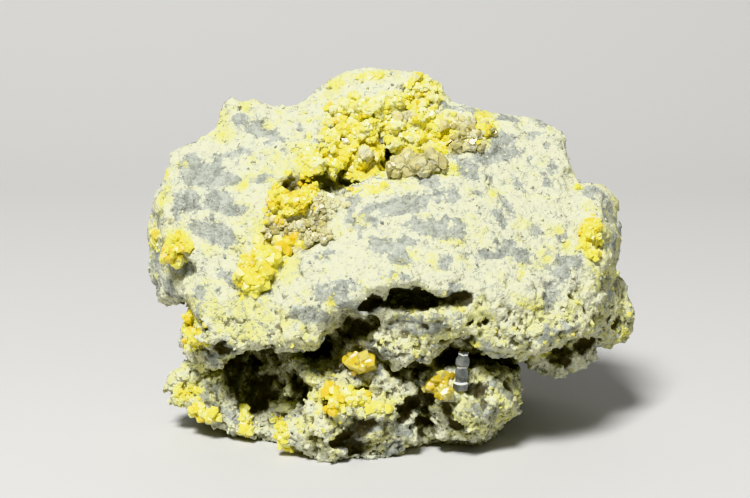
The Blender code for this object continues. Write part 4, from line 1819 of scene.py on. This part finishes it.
@dataclass
class Crumbs:
    """Grains of cement that cling to the block, as joined flat-faced bits."""

    kit: CrystalKit
    rock: bpy.types.Object
    front: int = 5000
    rear: int = 1900
    size: tuple[float, float] = (0.28, 1.25)
    seed: int = 5
    on_clasts: float = 0.1
    clast_rim: float = 0.2
    high_up: float = 0.3
    heights: tuple[float, float] = (70, 40)
    few_large: float = 3
    squash: tuple[float, float] = (0.6, 1.0)
    flatten: tuple[float, float] = (0.5, 0.9)
    buried: tuple[float, float] = (-0.35, 0.2)
    clast_chances: tuple[float, ...] = (-1, -1, -1, -0.6, 0.3)
    stain_chances: tuple[float, ...] = (-0.2, 0, 0, 0.5)

    def build(self) -> None:
        """Models and dresses the crumbs, one piece for each side of the block."""
        shapes = self.kit.all(Habit.CRUMB)
        corners = places(self.rock)
        triangles = np.array([polygon.vertices for polygon in self.rock.data.polygons])
        first, second, third = (corners[triangles[:, side]] for side in range(3))
        normal = np.cross(second - first, third - first)
        area = np.linalg.norm(normal, axis=1) + 1e-9
        normal /= area[:, None]
        toward = normal @ -np.array(SIGHT.forward)
        # The deep mark carries the block's painted shade of enclosed hollows to the crumbs.
        clast, stain, deep = (self.kept(name)[triangles].mean(axis=1) for name in ("clast", "stain", "deep"))
        bare = smoothstep(clast, self.clast_rim, -self.clast_rim) * (1 - self.on_clasts) + self.on_clasts
        lower = self.high_up + (1 - self.high_up) * smoothstep(first[:, 2], *self.heights)
        for name, count, side in (
            ("front_crumbs", self.front, toward > 0.0),
            ("rear_crumbs", self.rear, toward <= 0.0),
        ):
            rng = np.random.default_rng(self.seed + count)
            weight = area * side * bare * lower
            chosen = rng.choice(len(triangles), count, p=weight / weight.sum())
            one, two, three = rng.dirichlet((1, 1, 1), count).T[:, :, None]
            spots = first[chosen] * one + second[chosen] * two + third[chosen] * three
            self.scatter(name, spots, normal[chosen], np.stack([stain, deep], axis=1)[chosen], shapes)

    def kept(self, name: str) -> np.ndarray:
        """The numbers that the block keeps.

        Args:
            name: What they are kept under.

        Returns:
            One number a corner.
        """
        values = np.empty(len(self.rock.data.vertices), dtype=np.float32)
        self.rock.data.attributes[name].data.foreach_get("value", values)
        return values

    def scatter(
        self,
        name: str,
        spots: np.ndarray,
        outward: np.ndarray,
        tone: np.ndarray,
        shapes: list[Shape],
    ) -> None:
        """Makes one piece of crumbs.

        Args:
            name: The piece's name.
            spots: Where the crumbs lie, one a row.
            outward: The surface's normal at each.
            tone: How yellow the stone is at each, and how much painted shade of enclosed hollows it has.
            shapes: The crumbs that they are copies of.
        """
        rng = random.Random(self.seed)
        corners = []
        faces = []
        marks = {"clast": [], "stain": [], "deep": [], "pit": []}
        total = 0
        for point, normal, (yellow, dark) in zip(spots, outward, tone):
            size = self.size[0] + (self.size[1] - self.size[0]) * rng.random() ** self.few_large
            turn = Quaternion([rng.gauss(0, 1) for _ in range(4)]).normalized()
            shape, sides = rng.choice(shapes)
            squash = np.array([1.0, rng.uniform(*self.squash), rng.uniform(*self.flatten)])
            middle = point + normal * size * rng.uniform(*self.buried)
            corners.append((shape * squash) @ np.array(turn.to_matrix()).T * size + middle)
            faces.append(sides + total)
            total += len(shape)
            marks["clast"].append(np.full(len(shape), rng.choice(self.clast_chances)))
            marks["stain"].append(np.full(len(shape), yellow + rng.choice(self.stain_chances)))
            # Painted shade of enclosed hollows, taken from the block.
            marks["deep"].append(np.full(len(shape), dark))
            marks["pit"].append(np.zeros(len(shape)))
        mesh, joined = joined_mesh(name, corners, faces)
        piece = bpy.data.objects.new(name, mesh)
        bpy.context.scene.collection.objects.link(piece)
        place(piece, joined)
        for mark, values in marks.items():
            record(piece, mark, np.clip(np.concatenate(values), -1, 1))
        piece.data.materials.append(self.rock.data.materials[0])
        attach(piece, BODY)
        log.info("%s: %d faces", name, len(mesh.polygons))


# ---------------------------------------------------------------- studio


@dataclass
class Studio:
    """A pale floor that curves up behind the specimen, and soft lights."""

    reach: float = 1.1
    sweep: float = 0.6
    sky: float = 0.12
    aim: float = 0.06

    def build(self) -> None:
        """Makes the floor, the lights and the world."""
        self.floor()
        self.light("key", (-0.45, -1.3, 2.05), 0.6, 92.0)
        self.light("fill", (0.9, -1.7, 0.9), 1.6, 4.0)
        world = bpy.data.worlds.new("studio")
        world.use_nodes = True
        world.node_tree.nodes["Background"].inputs["Color"].default_value = (1.0, 1.0, 1.0, 1)
        world.node_tree.nodes["Background"].inputs["Strength"].default_value = self.sky
        bpy.context.scene.world = world
        bpy.context.scene.view_settings.view_transform = "Khronos PBR Neutral"

    def floor(self) -> None:
        """Makes the floor and its sweep."""
        bpy.ops.object.select_all(action="DESELECT")
        bpy.ops.mesh.primitive_plane_add(size=2 * self.reach, location=(0, 0, 0))
        floor = bpy.context.active_object
        floor.name = "studio_floor"
        bpy.ops.object.mode_set(mode="EDIT")
        shape = bmesh.from_edit_mesh(floor.data)
        for edge in shape.edges:
            edge.select_set(all(vertex.co.y > self.reach * 0.9 for vertex in edge.verts))
        bmesh.update_edit_mesh(floor.data)
        bpy.ops.mesh.extrude_edges_move(TRANSFORM_OT_translate={"value": (0, 0, 2 * self.reach)})
        bpy.ops.object.mode_set(mode="OBJECT")
        apply(floor, "BEVEL", width=self.sweep, segments=16, limit_method="ANGLE")
        only(floor)
        bpy.ops.object.shade_smooth()
        floor.data.materials.append(Floor().material())

    def light(self, name: str, where: tuple[float, float, float], size: float, power: float) -> None:
        """Makes a soft light that faces the specimen.

        Args:
            name: Its name.
            where: Its place in metres.
            size: Its side in metres.
            power: Its power in watts.
        """
        data = bpy.data.lights.new(name, "AREA")
        data.size = size
        data.energy = power
        made = bpy.data.objects.new(name, data)
        bpy.context.scene.collection.objects.link(made)
        made.location = where
        away = Vector(where) - Vector((0, 0, self.aim))
        made.rotation_euler = away.to_track_quat("Z", "Y").to_euler()


def main() -> None:
    """Builds the specimen and its studio."""
    noise.seed_set(NOISE_SEED)
    logging.basicConfig(level=logging.INFO, format="%(name)s: %(message)s")
    SIGHT.camera()
    Studio().build()
    rock = Rock().build()
    log.info("%s: %d faces", rock.name, len(rock.data.polygons))
    Druse(CrystalKit(), rock).build()
    Crumbs(CrystalKit(), rock).build()
    meshes = [thing for thing in bpy.context.scene.objects if thing.type == "MESH"]
    log.info("faces in all: %d", sum(len(thing.data.polygons) for thing in meshes))


if __name__ == "__main__":
    main()
